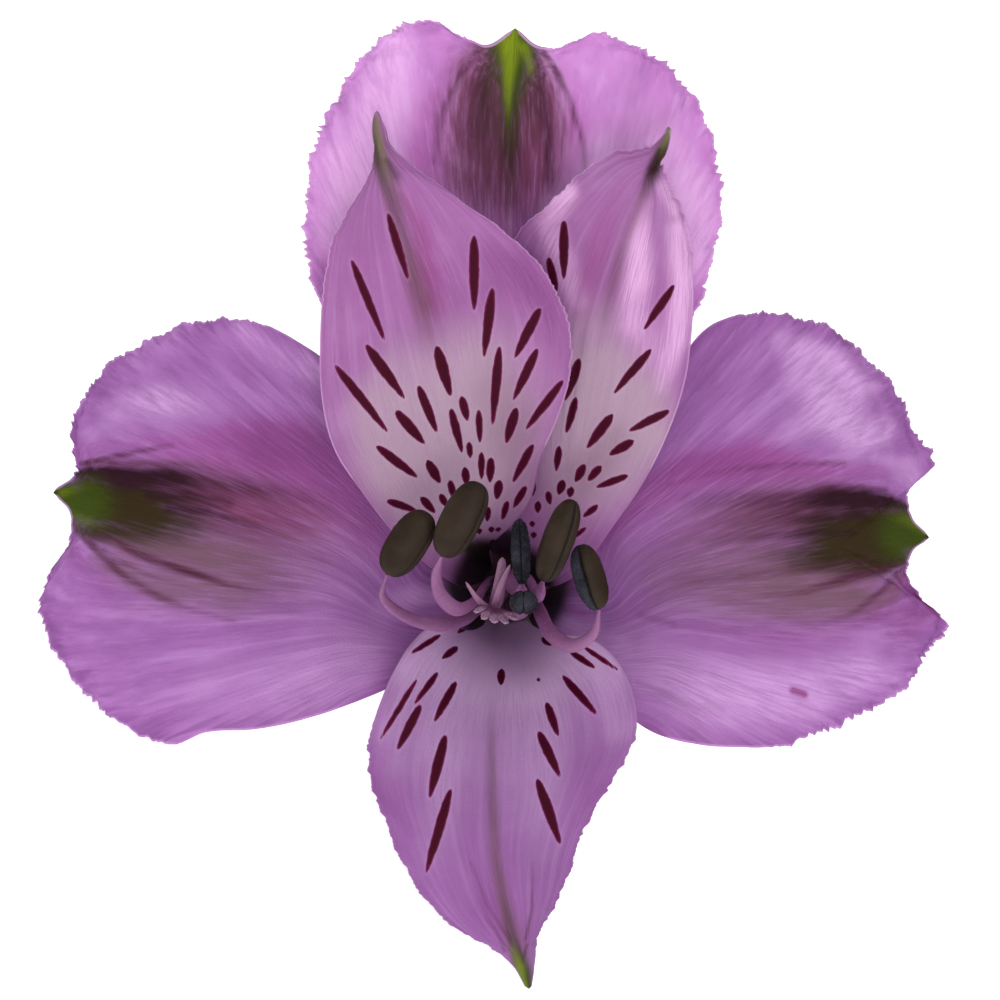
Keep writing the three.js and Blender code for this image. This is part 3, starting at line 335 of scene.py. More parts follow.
STROKES_RIGHT = (
    (LIME, (29.6, 4.2, 0.5, 0.25), (28.4, 4.9, 0.5, 0.25), (27.2, 5, 0.4, 0.1)),
    (GREEN, (30.2, 3.8, 0.6, 1), (29.3, 3.8, 1.3, 1), (28.3, 3.8, 1.9, 0.9), (27.2, 3.8, 1.4, 0.4),
     (26, 3.8, 0.9, 0.1)),
    (OLIVE, (28.4, 5, 0.5, 0.5), (26.8, 4.6, 0.8, 0.9), (24.6, 4.4, 1.1, 0.9),
     (22.2, 4.3, 1.1, 0.6), (19.6, 4.2, 0.9, 0.2), (17, 4, 0.8, 0)),
    (OLIVE, (27.6, 3, 0.6, 0.7), (25.6, 2.9, 0.8, 0.9), (23.4, 2.8, 0.9, 0.85),
     (21, 2.6, 0.9, 0.55), (18, 2.3, 0.9, 0.2)),
    (OLIVE, (28, 2, 0.5, 0.7), (26.4, 1.8, 0.9, 0.8), (24, 1.7, 0.9, 0.6), (20.6, 1.6, 0.8, 0.35)),
    (OLIVE, (28, 5.2, 1, 0.4), (26.4, 3.8, 2.2, 0.8), (23.6, 3.8, 2, 0.45), (20.6, 3.6, 1.8, 0)),
    (PLUM, (28.6, 5.7, 0.3, 0.6), (27.2, 6.1, 0.6, 0.95), (25.4, 6.3, 0.85, 1),
     (23.2, 6.4, 0.95, 0.95), (21, 6.3, 0.95, 0.65), (18.5, 6.2, 0.95, 0.45), (13, 6.2, 0.9, 0.25)),
    (PLUM, (25.4, 5.2, 0.4, 0.5), (23, 5, 0.5, 0.5), (19.6, 4.9, 0.6, 0.4), (15, 4.4, 0.6, 0.2)),
    (PLUM, (24.6, 3.9, 0.3, 0.5), (21.6, 3.9, 0.4, 0.5), (18, 3.7, 0.5, 0.35), (14, 3.4, 0.5, 0.2)),
    (VEIN, (28.4, 1.9, 0.26, 0.5), (26.8, 1.4, 0.3, 0.7), (25, 0.9, 0.42, 1),
     (23.6, 0.5, 0.38, 0.9), (21.4, -0.2, 0.3, 0.6), (18.6, -0.6, 0.3, 0.3)),
    (VEIN, (28, 1.4, 0.26, 0.5), (27.2, 0.4, 0.33, 0.7), (26.2, -0.6, 0.33, 0.7),
     (24.8, -1.7, 0.3, 0.5), (22.6, -2.5, 0.3, 0.25)),
    (VEIN, (28.6, 1.4, 0.3, 0.6), (28, 0.8, 0.3, 0.3)),
    (VEIN, (26, 2, 0.26, 0.4), (22, 1.4, 0.3, 0.45), (17, 0.8, 0.3, 0.35), (12, 0.6, 0.3, 0.2)),
    (VEIN, (27, 7, 0.26, 0.6), (24.4, 7.2, 0.26, 0.6), (22, 7, 0.26, 0.4)),
    (VEIN, (24, 8.9, 0.26, 0.5), (22, 8.9, 0.3, 0.5), (19, 8.7, 0.3, 0.5), (16, 8.5, 0.26, 0.4),
     (11.5, 7.4, 0.26, 0.3)),
    (VEIN, (9.6, -2, 0.38, 0.35), (12, -2.6, 0.3, 0.35)),
    (VEIN, (9.4, -6.8, 0.26, 0.3), (11.6, -7.7, 0.3, 0.4), (13.6, -8.8, 0.26, 0.3)),
    (VEIN, (14.2, -8.3, 0.26, 0.3), (15.4, -8.7, 0.26, 0.3)),
    (WINE, (28, 5.4, 0.9, 0.5), (24.6, 5.8, 1.8, 0.7), (20.6, 5.6, 2.4, 0.8), (16.6, 5, 2.6, 0.6),
     (12.6, 4.4, 2.4, 0.35)),
    (WINE, (25.6, 1.4, 1.4, 0.4), (21, 1, 1.8, 0.35)),
    (WINE, (20.4, -7.3, 0.26, 0.5), (21.2, -7.6, 0.26, 0.5)),
    (WINE, (28.6, 1.2, 0.5, 0.5), (27, -0.6, 0.6, 0.5), (25.6, -2, 0.5, 0.3)),
    (MAUVE, (27, 1.2, 0.6, 0.5), (24.4, 0.8, 1.2, 0.8), (21.4, 0.8, 1.9, 0.9),
     (17.5, 1.4, 2.6, 0.75), (12.5, 1.8, 2.4, 0.5), (9, 2, 2, 0.35)),
    (MAUVE, (27.4, -0.4, 0.9, 0.6), (24.6, -0.9, 1.4, 0.85), (21, -1.2, 1.6, 0.8),
     (16, -0.8, 2, 0.55), (11, -0.6, 2, 0.4)),
    (MAUVE, (21, 5.2, 1.2, 0.3), (17, 5, 1.5, 0.35), (12.6, 4.6, 1.4, 0.2)),
    (MAGENTA, (6.6, 3.4, 1.1, 0.6), (9.6, 6.4, 1.4, 0.75), (13, 8.4, 1.6, 0.9),
     (17.6, 9.2, 1.7, 0.95), (21, 8.6, 1.2, 0.8), (24, 8.2, 0.9, 0.6), (29, 8.4, 0.7, 0.2)),
    (MAGENTA, (29, 0.6, 0.8, 0.5), (30.4, -2, 1, 0.4)),
    (MAGENTA, (20.4, -7.3, 0.3, 1), (21.2, -7.6, 0.3, 1)),
    # darker purple: partly pigment, partly painted shade
    (DUSK_AND_SHADE, (8.8, 6.9, 0.6, 0.3), (13, 9, 0.8, 0.5), (17, 9.2, 1, 0.5)),
    (DUSK_AND_SHADE, (14, 7.6, 0.9, 0.3), (18, 8, 1.1, 0.45), (21.4, 7.8, 0.9, 0.35)),
    (DUSK_AND_SHADE, (15, 15.4, 2, 0.3), (17.6, 17.4, 1.6, 0.25)),
    (DUSK_AND_SHADE, (28.4, -0.2, 0.9, 0.6), (26.6, -1.4, 1.4, 0.75), (23, -3, 1.7, 0.55),
     (18, -3.6, 1.9, 0.5), (13, -3.4, 1.8, 0.2)),
    (DUSK_AND_SHADE, (29.6, 0.6, 0.8, 0.6), (29.4, -1.4, 1.4, 0.8), (28.4, -2.8, 1.3, 0.7),
     (27, -4.2, 1.2, 0.3)),
    # painted light: highlights and lit parts
    (GLOW, (19.6, 17.6, 0.9, 0.5), (21.4, 15.2, 1.9, 0.65), (23.2, 12.8, 1.9, 0.75),
     (24.8, 10.8, 1.5, 0.7), (26.8, 11.2, 1.2, 0.65)),
    (GLOW, (21.4, 17.4, 0.9, 0.6), (23.2, 16.2, 1, 1), (24.6, 14.6, 0.9, 0.6)),
    (GLOW, (25.4, 14.2, 1.2, 0.55), (23.6, 12, 1, 0.4), (20.4, 11.4, 1.2, 0.35)),
    (GLOW, (26.4, 9.2, 0.6, 0.3), (28.4, 8.4, 1, 0.5), (29.6, 7.4, 0.9, 0.5)),
    (GLOW, (8, 5.2, 0.5, 0.3), (11.4, 7.6, 0.6, 0.4), (15, 9, 0.5, 0.25)),
    (GLOW, (9, -6, 3, 0.5), (15, -7.8, 3, 0.65), (21, -7.6, 2.6, 0.6), (25.4, -6, 2, 0.55),
     (27.4, -6.4, 1.4, 0.4)),
    (GLOW, (4, -2.6, 0.8, 0.5), (5.6, -3.4, 1, 0.6), (7.6, -4.4, 1.6, 0.5)),
)
STROKES_INNER_LEFT = (
    (LIME, (-9.4, 33.6, 0.35, 0.3), (-9, 31.4, 0.3, 0.35), (-8.6, 29.6, 0.3, 0.2),
     (-8, 27, 0.3, 0)),
    (GREEN, (-9.5, 32, 0.25, 0.5), (-9.3, 30.4, 0.3, 0.5), (-8.9, 28.6, 0.3, 0.25),
     (-8.2, 26.6, 0.3, 0)),
    (OLIVE, (-9.5, 33.4, 0.3, 0.5), (-9.3, 31.4, 0.35, 0.45), (-8.8, 29, 0.4, 0.4),
     (-7.8, 26, 0.45, 0.3), (-6.6, 22, 0.5, 0.2), (-5.6, 18.4, 0.5, 0.15), (-5, 14.6, 0.5, 0)),
    # dark spot at the nectar pit, deep in the throat: partly its own colour, partly painted shade
    # of the hollow
    (OLIVE, (-3.1, 3.2, 0.6, 0.7), (-2.1, 2.6, 1.1, 1), (-1, 2, 0.8, 0.8)),
    (PLUM, (-8.6, 30.4, 0.3, 0.45), (-7.9, 29.4, 0.5, 0.45), (-7, 28.4, 0.5, 0)),
    (MAUVE, (-1.6, 17, 1.8, 0.2), (-0.8, 14, 2.4, 0.4), (0.4, 11.4, 2.4, 0.5), (1, 8.4, 2, 0.4),
     (0, 5, 1.6, 0.3)),
    (MAUVE, (-9.3, 33, 0.6, 0.6), (-8.7, 30, 0.8, 0.75), (-8.2, 28, 0.8, 0.6),
     (-7.6, 25.6, 0.8, 0.5), (-6.6, 22, 0.9, 0.5), (-5.9, 18.6, 0.9, 0.35), (-5.4, 15, 0.9, 0)),
    (WINE, (-8.4, 28, 0.6, 0.2), (-7.5, 25, 0.8, 0.4), (-6.8, 22.6, 1, 0.6), (-6, 20.4, 1.1, 0.6),
     (-5.8, 17.4, 0.9, 0.1)),
    (WINE, (-7.6, 28, 0.3, 0.3), (-6.2, 25.6, 0.4, 0.3), (-5.2, 22.6, 0.4, 0.1)),
    (MAGENTA, (-7.2, 28.4, 0.7, 0.3), (-6.2, 25.4, 1, 0.6), (-5.6, 22.6, 1.1, 0.75),
     (-5, 20, 0.9, 0.4)),
    (MAGENTA, (-10.4, 24, 1.2, 0.3), (-11, 20, 1.2, 0.2)),
    # darker purple: partly pigment, partly painted shade where the margin folds away
    (DUSK_AND_SHADE, (-5.6, 26.8, 0.8, 0.1), (-2, 24.6, 1.2, 0.4), (0.6, 22.8, 1.5, 0.8),
     (2.8, 20.2, 1.3, 0.75), (4, 17, 0.9, 0.4), (4.2, 13, 0.8, 0.1)),
    (DUSK_AND_SHADE, (-4.4, 22, 2, 0.4), (-1, 20.6, 2, 0.45), (1.6, 18.4, 1.6, 0.3)),
    (DUSK_AND_SHADE, (-5, 19.4, 1.4, 0.3), (-4, 17.6, 1.2, 0.2)),
    (PALE, (-0.8, 20.4, 1.8, 0), (-1, 18, 2.6, 0.4), (-2.6, 15, 4.2, 0.85), (-3.6, 12, 6, 1),
     (-3.6, 8.6, 5.4, 1), (-2.6, 5.4, 3.4, 0.5)),
    (PALE, (-8.2, 15.4, 1.6, 0.4), (-9, 12.6, 2.4, 0.75), (-8.4, 9, 2.4, 0.85), (-7, 6, 1.6, 0.6)),
)
STROKES_INNER_RIGHT = (
    (LIME, (11.6, 32.8, 0.3, 0.4), (11.1, 31.6, 0.25, 0.3), (10.6, 30.4, 0.25, 0)),
    (GREEN, (11.5, 32.8, 0.25, 0.3), (11.1, 31.6, 0.4, 0.3), (10.6, 30, 0.4, 0)),
    (OLIVE, (11.5, 32.4, 0.3, 0.3), (11, 31, 0.45, 0.75), (10.4, 29.8, 0.5, 0.75),
     (9.8, 28.4, 0.5, 0.3), (9, 26.6, 0.4, 0.15), (7.8, 23.2, 0.4, 0.2), (6.8, 19.4, 0.4, 0.15),
     (6, 16, 0.4, 0)),
    (PLUM, (10.8, 31.2, 0.2, 0.6), (10.2, 29.8, 0.4, 0.5), (9.7, 28.6, 0.35, 0.15),
     (9, 27, 0.3, 0)),
    (MAUVE, (7.6, 13, 1.6, 0.1), (7.4, 10.4, 2, 0.4), (5.6, 8.2, 2, 0.5), (4, 6, 1.6, 0.3)),
    (MAUVE, (11.5, 33, 0.5, 0.6), (10.8, 31, 0.6, 0.6), (10, 29, 0.7, 0.4), (8.6, 25.6, 0.7, 0.35),
     (7.7, 22.6, 0.7, 0.4), (7, 19.4, 0.7, 0.35), (6.4, 16, 0.7, 0)),
    (WINE, (9.8, 28.6, 0.4, 0.3), (8.4, 25, 0.5, 0.25), (7.4, 21.6, 0.5, 0.25), (6.6, 18, 0.5, 0)),
    (MAGENTA, (7.8, 28.4, 0.7, 0.3), (6.6, 25, 1, 0.55), (5.8, 22.4, 1, 0.6), (5.3, 20, 0.8, 0.3)),
    # painted light: the lit margin and highlights
    (GLOW, (12, 25.6, 0.8, 0.8), (12.4, 21.6, 1, 0.9), (12, 17.6, 0.9, 0.8), (11, 14.4, 0.7, 0.4)),
    (GLOW, (9.6, 27.4, 0.7, 0.4), (9.3, 24.6, 1, 0.9), (9.2, 22, 1.1, 0.9), (8.8, 19, 1.2, 0.5)),
    (GLOW, (4.2, 28.2, 0.9, 0.9), (2.8, 26, 1, 0.6), (4.2, 23, 1.1, 0.5), (5, 20.6, 0.9, 0.5)),
    (GLOW, (9.6, 18.6, 1.2, 0.4), (10.2, 16.6, 1.2, 0.4)),
    (GLOW, (11, 28.6, 0.6, 0.6), (11.8, 27, 0.6, 0.6)),
    (PALE, (6.2, 21, 2, 0), (6.2, 18, 2.8, 0.6), (6.4, 15, 3.6, 0.95), (6.4, 12, 4.6, 1),
     (5.4, 8.8, 4, 0.8), (4, 6, 2.6, 0.3)),
    (PALE, (9.6, 14, 1.8, 0.6), (9.6, 11, 2.2, 0.8), (8.4, 8, 1.6, 0.4)),
)
STROKES_INNER_LOWER = (
    (LIME, (1.3, -28.6, 0.2, 0.4), (0.9, -27, 0.3, 0.45), (0.4, -25.8, 0.3, 0.3),
     (0.2, -24.6, 0.2, 0)),
    (GREEN, (1.5, -28.6, 0.3, 0.8), (1.1, -27.2, 0.45, 0.7), (0.6, -25.8, 0.5, 0.4),
     (0.3, -24.6, 0.3, 0)),
    (OLIVE, (1.4, -28.4, 0.3, 0.4), (0.8, -26.6, 0.5, 0.5), (0.2, -24.6, 0.4, 0.45),
     (-0.4, -22, 0.3, 0.25), (-0.9, -19, 0.3, 0.2), (-1.1, -15, 0.3, 0.15), (-1.1, -11, 0.3, 0.1),
     (-0.9, -8, 0.2, 0)),
    (VEIN, (0.3, -25.4, 0.16, 0.5), (-1.4, -22.6, 0.2, 0.4), (-2.6, -19.6, 0.2, 0.3)),
    (VEIN, (1.2, -25, 0.16, 0.6), (1.7, -22.8, 0.16, 0.5), (1.7, -19.6, 0.16, 0.3)),
    (VEIN, (0.9, -26.8, 0.14, 0.7), (1.3, -25.4, 0.14, 0.6)),
    (VEIN, (-0.2, -25.8, 0.2, 0.5), (-0.8, -24.4, 0.2, 0.4), (-1.6, -23.4, 0.16, 0.3)),
    (MAUVE, (1.2, -27.6, 0.6, 0.7), (0.4, -25, 0.7, 0.7), (-0.4, -22, 0.6, 0.65),
     (-0.9, -19, 0.55, 0.6), (-1.1, -15, 0.5, 0.6), (-1.2, -11.6, 0.45, 0.5), (-1.2, -8, 0.4, 0.2)),
    (WINE, (0, -23.8, 0.4, 0.3), (-0.7, -20.6, 0.4, 0.35), (-1.1, -16, 0.35, 0.3),
     (-1.2, -12, 0.3, 0)),
    (MAGENTA, (0, -24, 1.6, 0.25), (-2, -20, 2, 0.25)),
    (MAGENTA, (0.4, -24.6, 1.8, 0.3), (-1.4, -23, 2, 0.3)),
    (MAGENTA, (6.4, -12, 1.6, 0.3), (5.8, -15.4, 1.4, 0.4)),
    (MAGENTA, (-9, -14, 1.2, 0.35), (-7.4, -18, 1.2, 0.3)),
    # darker purple: partly pigment, partly painted shade towards the tip
    (DUSK_AND_SHADE, (6.6, -14.6, 1, 0.3), (5.2, -17, 0.8, 0.3)),
    (DUSK_AND_SHADE, (0.6, -25, 1.6, 0.4), (-0.8, -23, 2, 0.35), (-0.8, -20, 1.6, 0)),
    (DUSK_AND_SHADE, (-9.4, -13.6, 0.8, 0.3), (-8.6, -16, 0.8, 0.3)),
    # the pale centre, laid strongest just under the throat, where it is also painted light over the
    # shade
    (PALE, (-2.4, -3.4, 1.8, 1), (0, -3.6, 2, 1), (2.4, -3.4, 1.8, 1)),
    (PALE, (-1, -5, 2.4, 0.8), (1, -5, 2.4, 0.8)),
    (PALE, (-5.4, -3.6, 1.4, 0.8), (-3.4, -3.4, 1.4, 0.8)),
    (PALE, (5.4, -3.8, 1.4, 0.8), (3.4, -3.6, 1.4, 0.8)),
    (PALE, (-6.6, -5, 1.8, 0.6), (-2, -6, 3, 0.6), (2, -6, 3, 0.6), (6.6, -5, 1.8, 0.6)),
    (PALE, (-3.4, -7, 2.8, 0.5), (-4.4, -10, 2.4, 0.5), (-4.6, -14, 1.8, 0.45),
     (-5, -19, 1.4, 0.2)),
    (PALE, (2.4, -7, 2.8, 0.5), (2.8, -10, 2.4, 0.45), (2.8, -14, 1.6, 0.4), (2.4, -19, 1.4, 0.2)),
    (PALE, (-0.6, -7, 2, 0.3), (-0.4, -11, 2, 0.3), (0.2, -16, 1.8, 0.2)),
    (PALE, (-7.4, -6.6, 1.8, 0.4), (-8.4, -10, 1.8, 0.4), (-8, -13, 1.4, 0.2)),
    (PALE, (7, -6.6, 1.8, 0.45), (8, -9.6, 1.8, 0.4)),
)


@dataclass(frozen=True)
class Stamen:
    """One stamen: a filament through points up to its anther's foot, and the anther.

    Fields give the anther's foot and top, its width and depth, how far its groove is turned from
    the middle of its face to the right, in degrees, and the part of its round, in degrees from
    its left edge, where it has split and shows its grains.
    """

    filament: tuple[Triple, ...]
    foot: Triple
    top: Triple
    width: float
    depth: float
    groove: float
    split: Pair | None = None


STAMENS = (
    Stamen(
        ((-0.9, -0.53, 0.3), (-1.6, -1, 7), (-2.3, -1.5, 13), (-3.3, -2.2, 18), (-5.1, -2.6, 21.2),
         (-7.3, -2, 23.8), (-8.9, -0.6, 24.9)),
        (-8.6, 1, 25.6), (-5.7, 5.4, 26), 2.9, 1.8, 64,
    ),
    Stamen(
        ((-0.9, 0.53, 0.3), (-1.4, 0.4, 7), (-1.8, -0.1, 13), (-2.4, -1, 18.5), (-3.6, -1.5, 21.6),
         (-4.8, -0.5, 24.2), (-5.1, 1, 26)),
        (-4.7, 2.3, 27), (-2, 7.5, 28), 2.9, 1.8, 60,
    ),
    Stamen(
        ((0, 1.05, 0.3), (0, 1.1, 7), (0.1, 0.7, 13), (0.5, -0.1, 19), (0.9, -0.3, 23.5)),
        (1, 0.3, 25.8), (0.8, 4.9, 26.4), 1.3, 1.2, 0, (0, 360),
    ),
    Stamen(
        ((0, -1.05, 0.3), (0.1, -1.5, 7), (0.4, -2, 13), (0.8, -1.9, 19), (1.1, -1.5, 23)),
        (1.1, -1.2, 25.2), (1.1, -0.8, 29.4), 1.9, 1.6, 0, (0, 360),
    ),
    Stamen(
        ((0.9, 0.53, 0.3), (1.4, 0.7, 7), (1.7, 0.3, 13), (2, -0.5, 19), (2.3, -0.3, 24)),
        (2.5, 0.5, 26.8), (4.6, 6.3, 28.2), 2.3, 1.7, 38,
    ),
    Stamen(
        ((0.9, -0.53, 0.3), (1.6, -0.9, 7), (2.1, -1.4, 13), (2.4, -2, 18), (3.1, -3.3, 20.8),
         (4.6, -4.1, 22.6), (6.1, -3.2, 23.8)),
        (6.5, -1.5, 24.6), (5.1, 3.1, 25.2), 2.3, 1.7, -18, (20, 74),
    ),
)
# The style, from the ovary up.
STYLE_LINE = ((0, 0, -0.1), (-0.1, -0.2, 7), (-0.4, -0.7, 13), (-0.9, -1.4, 19), (-1.2, -1.7, 21.6))
# The stigma's three arms, then the lobes of the frill at their feet: runs of x, y, z, radius.
STIGMA_ARMS = (
    ((-1.2, -1.7, 21, 0.4), (-1.7, -1.25, 22.3, 0.34), (-2.3, -0.6, 23.4, 0.22),
     (-3, 0.45, 24.6, 0.1)),
    ((-1.2, -1.7, 21, 0.4), (-0.95, -1.1, 22.4, 0.3), (-0.5, 0.2, 23.8, 0.25),
     (0.15, 1.7, 25.2, 0.12)),
    ((-1.1, -1.6, 21, 0.4), (-0.8, -0.8, 22, 0.5), (-0.55, 0.6, 22.9, 0.42),
     (-0.4, 2.2, 23.6, 0.26)),
)
STIGMA_FRILL = (
    ((-1.6, -1.2, 22.2, 0.34), (-2, -1.5, 23, 0.3), (-2.35, -1.7, 23.5, 0.16)),
    ((-1.4, -1.4, 22.2, 0.34), (-1.6, -1.9, 23.1, 0.32), (-1.75, -2.2, 23.6, 0.18)),
    ((-1.1, -1.6, 22.2, 0.34), (-1, -2.1, 23.2, 0.34), (-0.9, -2.45, 23.7, 0.2)),
    ((-0.8, -1.6, 22.2, 0.34), (-0.4, -2.1, 23.2, 0.34), (-0.1, -2.5, 23.8, 0.2)),
    ((-0.6, -1.6, 22.2, 0.34), (0.1, -1.9, 23.1, 0.32), (0.6, -2.2, 23.8, 0.2)),
)

# Height and radius, as shares of the ovary's length and of its waist.
OVARY_PROFILE = (
    (-1, 0.38), (-0.92, 0.5), (-0.78, 0.74), (-0.6, 0.92),
    (-0.4, 1), (-0.2, 0.98), (-0.06, 0.92), (0, 0.84),
)
PEDICEL_LINE = (
    (4.6, 6.8, -50), (3.1, 4.6, -41.5), (1.8, 2.7, -33),
    (0.8, 1.2, -24), (0.2, 0.3, -16), (0, 0, -7.6),
)


# ---- sums

RIPPLE_LENGTHS = (0.53, 0.81, 1, 1.37, 1.9)  # its waves' lengths as shares of the mean
RIPPLE_HEIGHT = 3  # about what its waves add up to
# The spread of teeth's lengths and depths about their means, how a tooth swells, where along it
# its drop starts, and the share of its depth that lies inside the mean line of the margin.
TEETH_AT_MOST = 400
PITCH_SPREAD, DEPTH_SPREAD = (0.5, 1.5), (0.35, 1.7)
TOOTH_SWELL, TOOTH_DROP, TOOTH_MEAN = 1.4, 0.8, 0.35
STROKE_FALL, STROKE_SPREAD = 2.4, 0.9  # how steeply and how soon a stroke of pigment fades
# A fleck's outline: how far its belly lies to the outer end, how blunt its ends are, how much
# wider than its half-width the belly is, and the round of its ends, as a share of it.
FLECK_LEAN, FLECK_BLUNT, FLECK_BELLY, FLECK_END = 0.78, 0.62, 1.12, 0.08


def unit(vectors: Array) -> Array:
    """Scales vectors, along the last axis, to length one."""
    return vectors / np.maximum(np.linalg.norm(vectors, axis=-1, keepdims=True), 1e-9)


def smooth(low: float, high: float, values: Array) -> Array:
    """Rises smoothly from 0 at low to 1 at high."""
    share = np.clip((np.asarray(values, float) - low) / (high - low), 0, 1)
    return share * share * (3 - 2 * share)


def through(values: Array, s: Array) -> Array:
    """Follows the smooth curve through values that stand one unit of s apart.

    Args:
        values: one row for each whole number of s.
        s: places to read, from 0 to the last row's number.

    Returns:
        One row for each place.
    """
    values, s = np.asarray(values, float), np.asarray(s, float)
    i = np.clip(np.ceil(s).astype(int) - 1, 0, len(values) - 2)
    slopes = np.gradient(values, axis=0)
    u = (s - i)[..., None]
    return (
        values[i] * (1 + 2 * u) * (1 - u) ** 2
        + slopes[i] * u * (1 - u) ** 2
        + values[i + 1] * u * u * (3 - 2 * u)
        + slopes[i + 1] * u * u * (u - 1)
    )


def run_length(points: Array) -> Array:
    """Measures the way along a run of points, from 0 at the first."""
    steps = np.linalg.norm(np.diff(points, axis=0), axis=1)
    return np.concatenate([[0], np.cumsum(steps)])


def ripple(places: Array, length: float, seed: int) -> Array:
    """Gives an irregular wave along places.

    Args:
        places: where to read it, in mm.
        length: mean wavelength, in mm.
        seed: picks the wave.

    Returns:
        Heights of about -1 to 1.
    """
    rng = np.random.default_rng(seed)
    total = np.zeros_like(places, dtype=float)
    for share in RIPPLE_LENGTHS:
        total += np.sin(2 * math.pi * places / (length * share) + rng.uniform(0, 2 * math.pi))
    return total / RIPPLE_HEIGHT


def teeth(places: Array, pitch: float, depth: float, seed: int) -> Array:
    """Gives the saw edge of a margin: each tooth swells towards the tip and drops off short.

    Args:
        places: the way along the margin, in mm.
        pitch: mean length of a tooth, in mm.
        depth: mean depth of a tooth, in mm.
        seed: picks the teeth.

    Returns:
        How far the margin stands out at each place, in mm; the mean is near 0.
    """
    rng = np.random.default_rng(seed)
    pitches = pitch * rng.uniform(*PITCH_SPREAD, TEETH_AT_MOST)
    starts = np.concatenate([[-1], np.cumsum(pitches) - 1])
    depths = depth * rng.uniform(*DEPTH_SPREAD, len(starts))
    k = np.searchsorted(starts, places, side="right") - 1
    share = (places - starts[k]) / (starts[k + 1] - starts[k])
    return depths[k] * (share**TOOTH_SWELL * (1 - smooth(TOOTH_DROP, 1, share)) - TOOTH_MEAN)


def stroke_strength(plane: Array, stroke: list) -> Array:
    """Finds how strongly a stroke of pigment colours each point.

    Args:
        plane: x, y of the points, in mm.
        stroke: runs of x, y, half-width, strength.

    Returns:
        Strengths from 0 to 1, falling off softly past the half-width.
    """
    best = np.zeros(plane.shape[:-1])
    stroke = np.array(stroke, float)
    for one, two in zip(stroke[:-1], stroke[1:]):
        way = two[:2] - one[:2]
        share = np.clip(((plane - one[:2]) @ way) / max(way @ way, 1e-9), 0, 1)
        near = one + share[..., None] * (two - one)
        gap = np.linalg.norm(plane - near[..., :2], axis=-1)
        faded = np.exp(-((gap / near[..., 2]) ** STROKE_FALL) * STROKE_SPREAD)
        best = np.maximum(best, near[..., 3] * faded)
    return best


def fleck_depth(plane: Array, flecks: tuple) -> Array:
    """Finds how far inside the nearest fleck each point lies.

    Args:
        plane: x, y of the points, in mm.
        flecks: x, y of the outer end, x, y of the inner end, half-width.

    Returns:
        Depths in mm, positive inside, no less than -1.
    """
    best = np.full(plane.shape[:-1], -1.0)
    for x0, y0, x1, y1, half in flecks:
        start, way = np.array([x0, y0]), np.array([x1 - x0, y1 - y0])
        long = math.hypot(*way)
        share = np.clip(((plane - start) @ way) / long**2, 0, 1)
        gap = np.linalg.norm(plane - start - share[..., None] * way, axis=-1)
        belly = np.sin(math.pi * share**FLECK_LEAN) ** FLECK_BLUNT
        best = np.maximum(best, half * (FLECK_BELLY * belly + FLECK_END) - gap)
    return best


@dataclass(frozen=True)
class Lie:
    """How the bloom lies: rolled about its own axis, then with its face tipped up off the table."""

    roll_deg: float = 31.111
    face_up_deg: float = 23.892
    place: Triple = (2.4, -10.361, 13.921)

    def turn(self) -> Matrix:
        """Gives the turn from the bloom's frame to the table's."""
        tip = Matrix.Rotation(math.radians(90 - self.face_up_deg), 3, "X")
        return tip @ Matrix.Rotation(math.radians(self.roll_deg), 3, "Z")

    def world(self, points: Array) -> Array:
        """Takes points from bloom millimetres to the table's frame, in metres."""
        return (points @ np.array(self.turn()).T + np.array(self.place)) * MM

    def direction(self, vectors: Array) -> Array:
        """Turns directions from the bloom's frame to the table's."""
        return vectors @ np.array(self.turn()).T


LIE = Lie()


# ---- meshes and node trees


def linear(hex_colour: str) -> tuple[float, float, float, float]:
    """Turns an sRGB hex colour to linear red, green, blue and 1."""
    parts = [int(hex_colour[i : i + 2], 16) / 255 for i in (1, 3, 5)]
    return (*(c / 12.92 if c <= 0.04045 else ((c + 0.055) / 1.055) ** 2.4 for c in parts), 1.0)


def node(tree: Tree, kind: str, settings: dict | None = None, links: dict | None = None) -> Node:
    """Adds a node.

    Args:
        tree: the tree it goes in.
        kind: Blender's name for the kind of node.
        settings: values for the node's own properties, or for its inputs by name or number.
        links: what feeds its inputs, by name or number: a socket, or a node's first output.

    Returns:
        The node.
    """
    made = tree.nodes.new(kind)
    for key, value in (settings or {}).items():
        if isinstance(key, str) and hasattr(made, key):
            setattr(made, key, value)
        else:
            made.inputs[key].default_value = value
    for key, source in (links or {}).items():
        tree.links.new(source.outputs[0] if isinstance(source, Node) else source, made.inputs[key])
    return made


def new_material(name: str) -> tuple[Material, Tree]:
    """Makes a material with an empty node tree.

    Args:
        name: the material's name.

    Returns:
        The material and its tree.
    """
    material = bpy.data.materials.new(name)
    material.use_nodes = True
    material.node_tree.nodes.clear()
    return material, material.node_tree


def new_mesh(
    name: str,
    points: Array,
    faces: list,
    attributes: Fields | None = None,
    edges: list | None = None,
) -> Thing:
    """Makes a mesh object in the scene, from points in the bloom's frame.

    Args:
        name: the object's name.
        points: places in bloom millimetres, one row each.
        faces: runs of point numbers.
        attributes: for each name one number, or one vector, a point.
        edges: pairs of point numbers, for a mesh without faces.

    Returns:
        The object, at the origin with its place in its mesh.
    """
    mesh = bpy.data.meshes.new(name)
    mesh.from_pydata(LIE.world(points).tolist(), edges or [], faces)
    for key, values in (attributes or {}).items():
        vector = np.ndim(values) == 2
        layer = mesh.attributes.new(key, "FLOAT_VECTOR" if vector else "FLOAT", "POINT")
        layer.data.foreach_set("vector" if vector else "value", np.ravel(values).astype(np.float32))
    mesh.update()
    mesh.shade_smooth()
    thing = bpy.data.objects.new(name, mesh)
    bpy.context.scene.collection.objects.link(thing)
    return thing


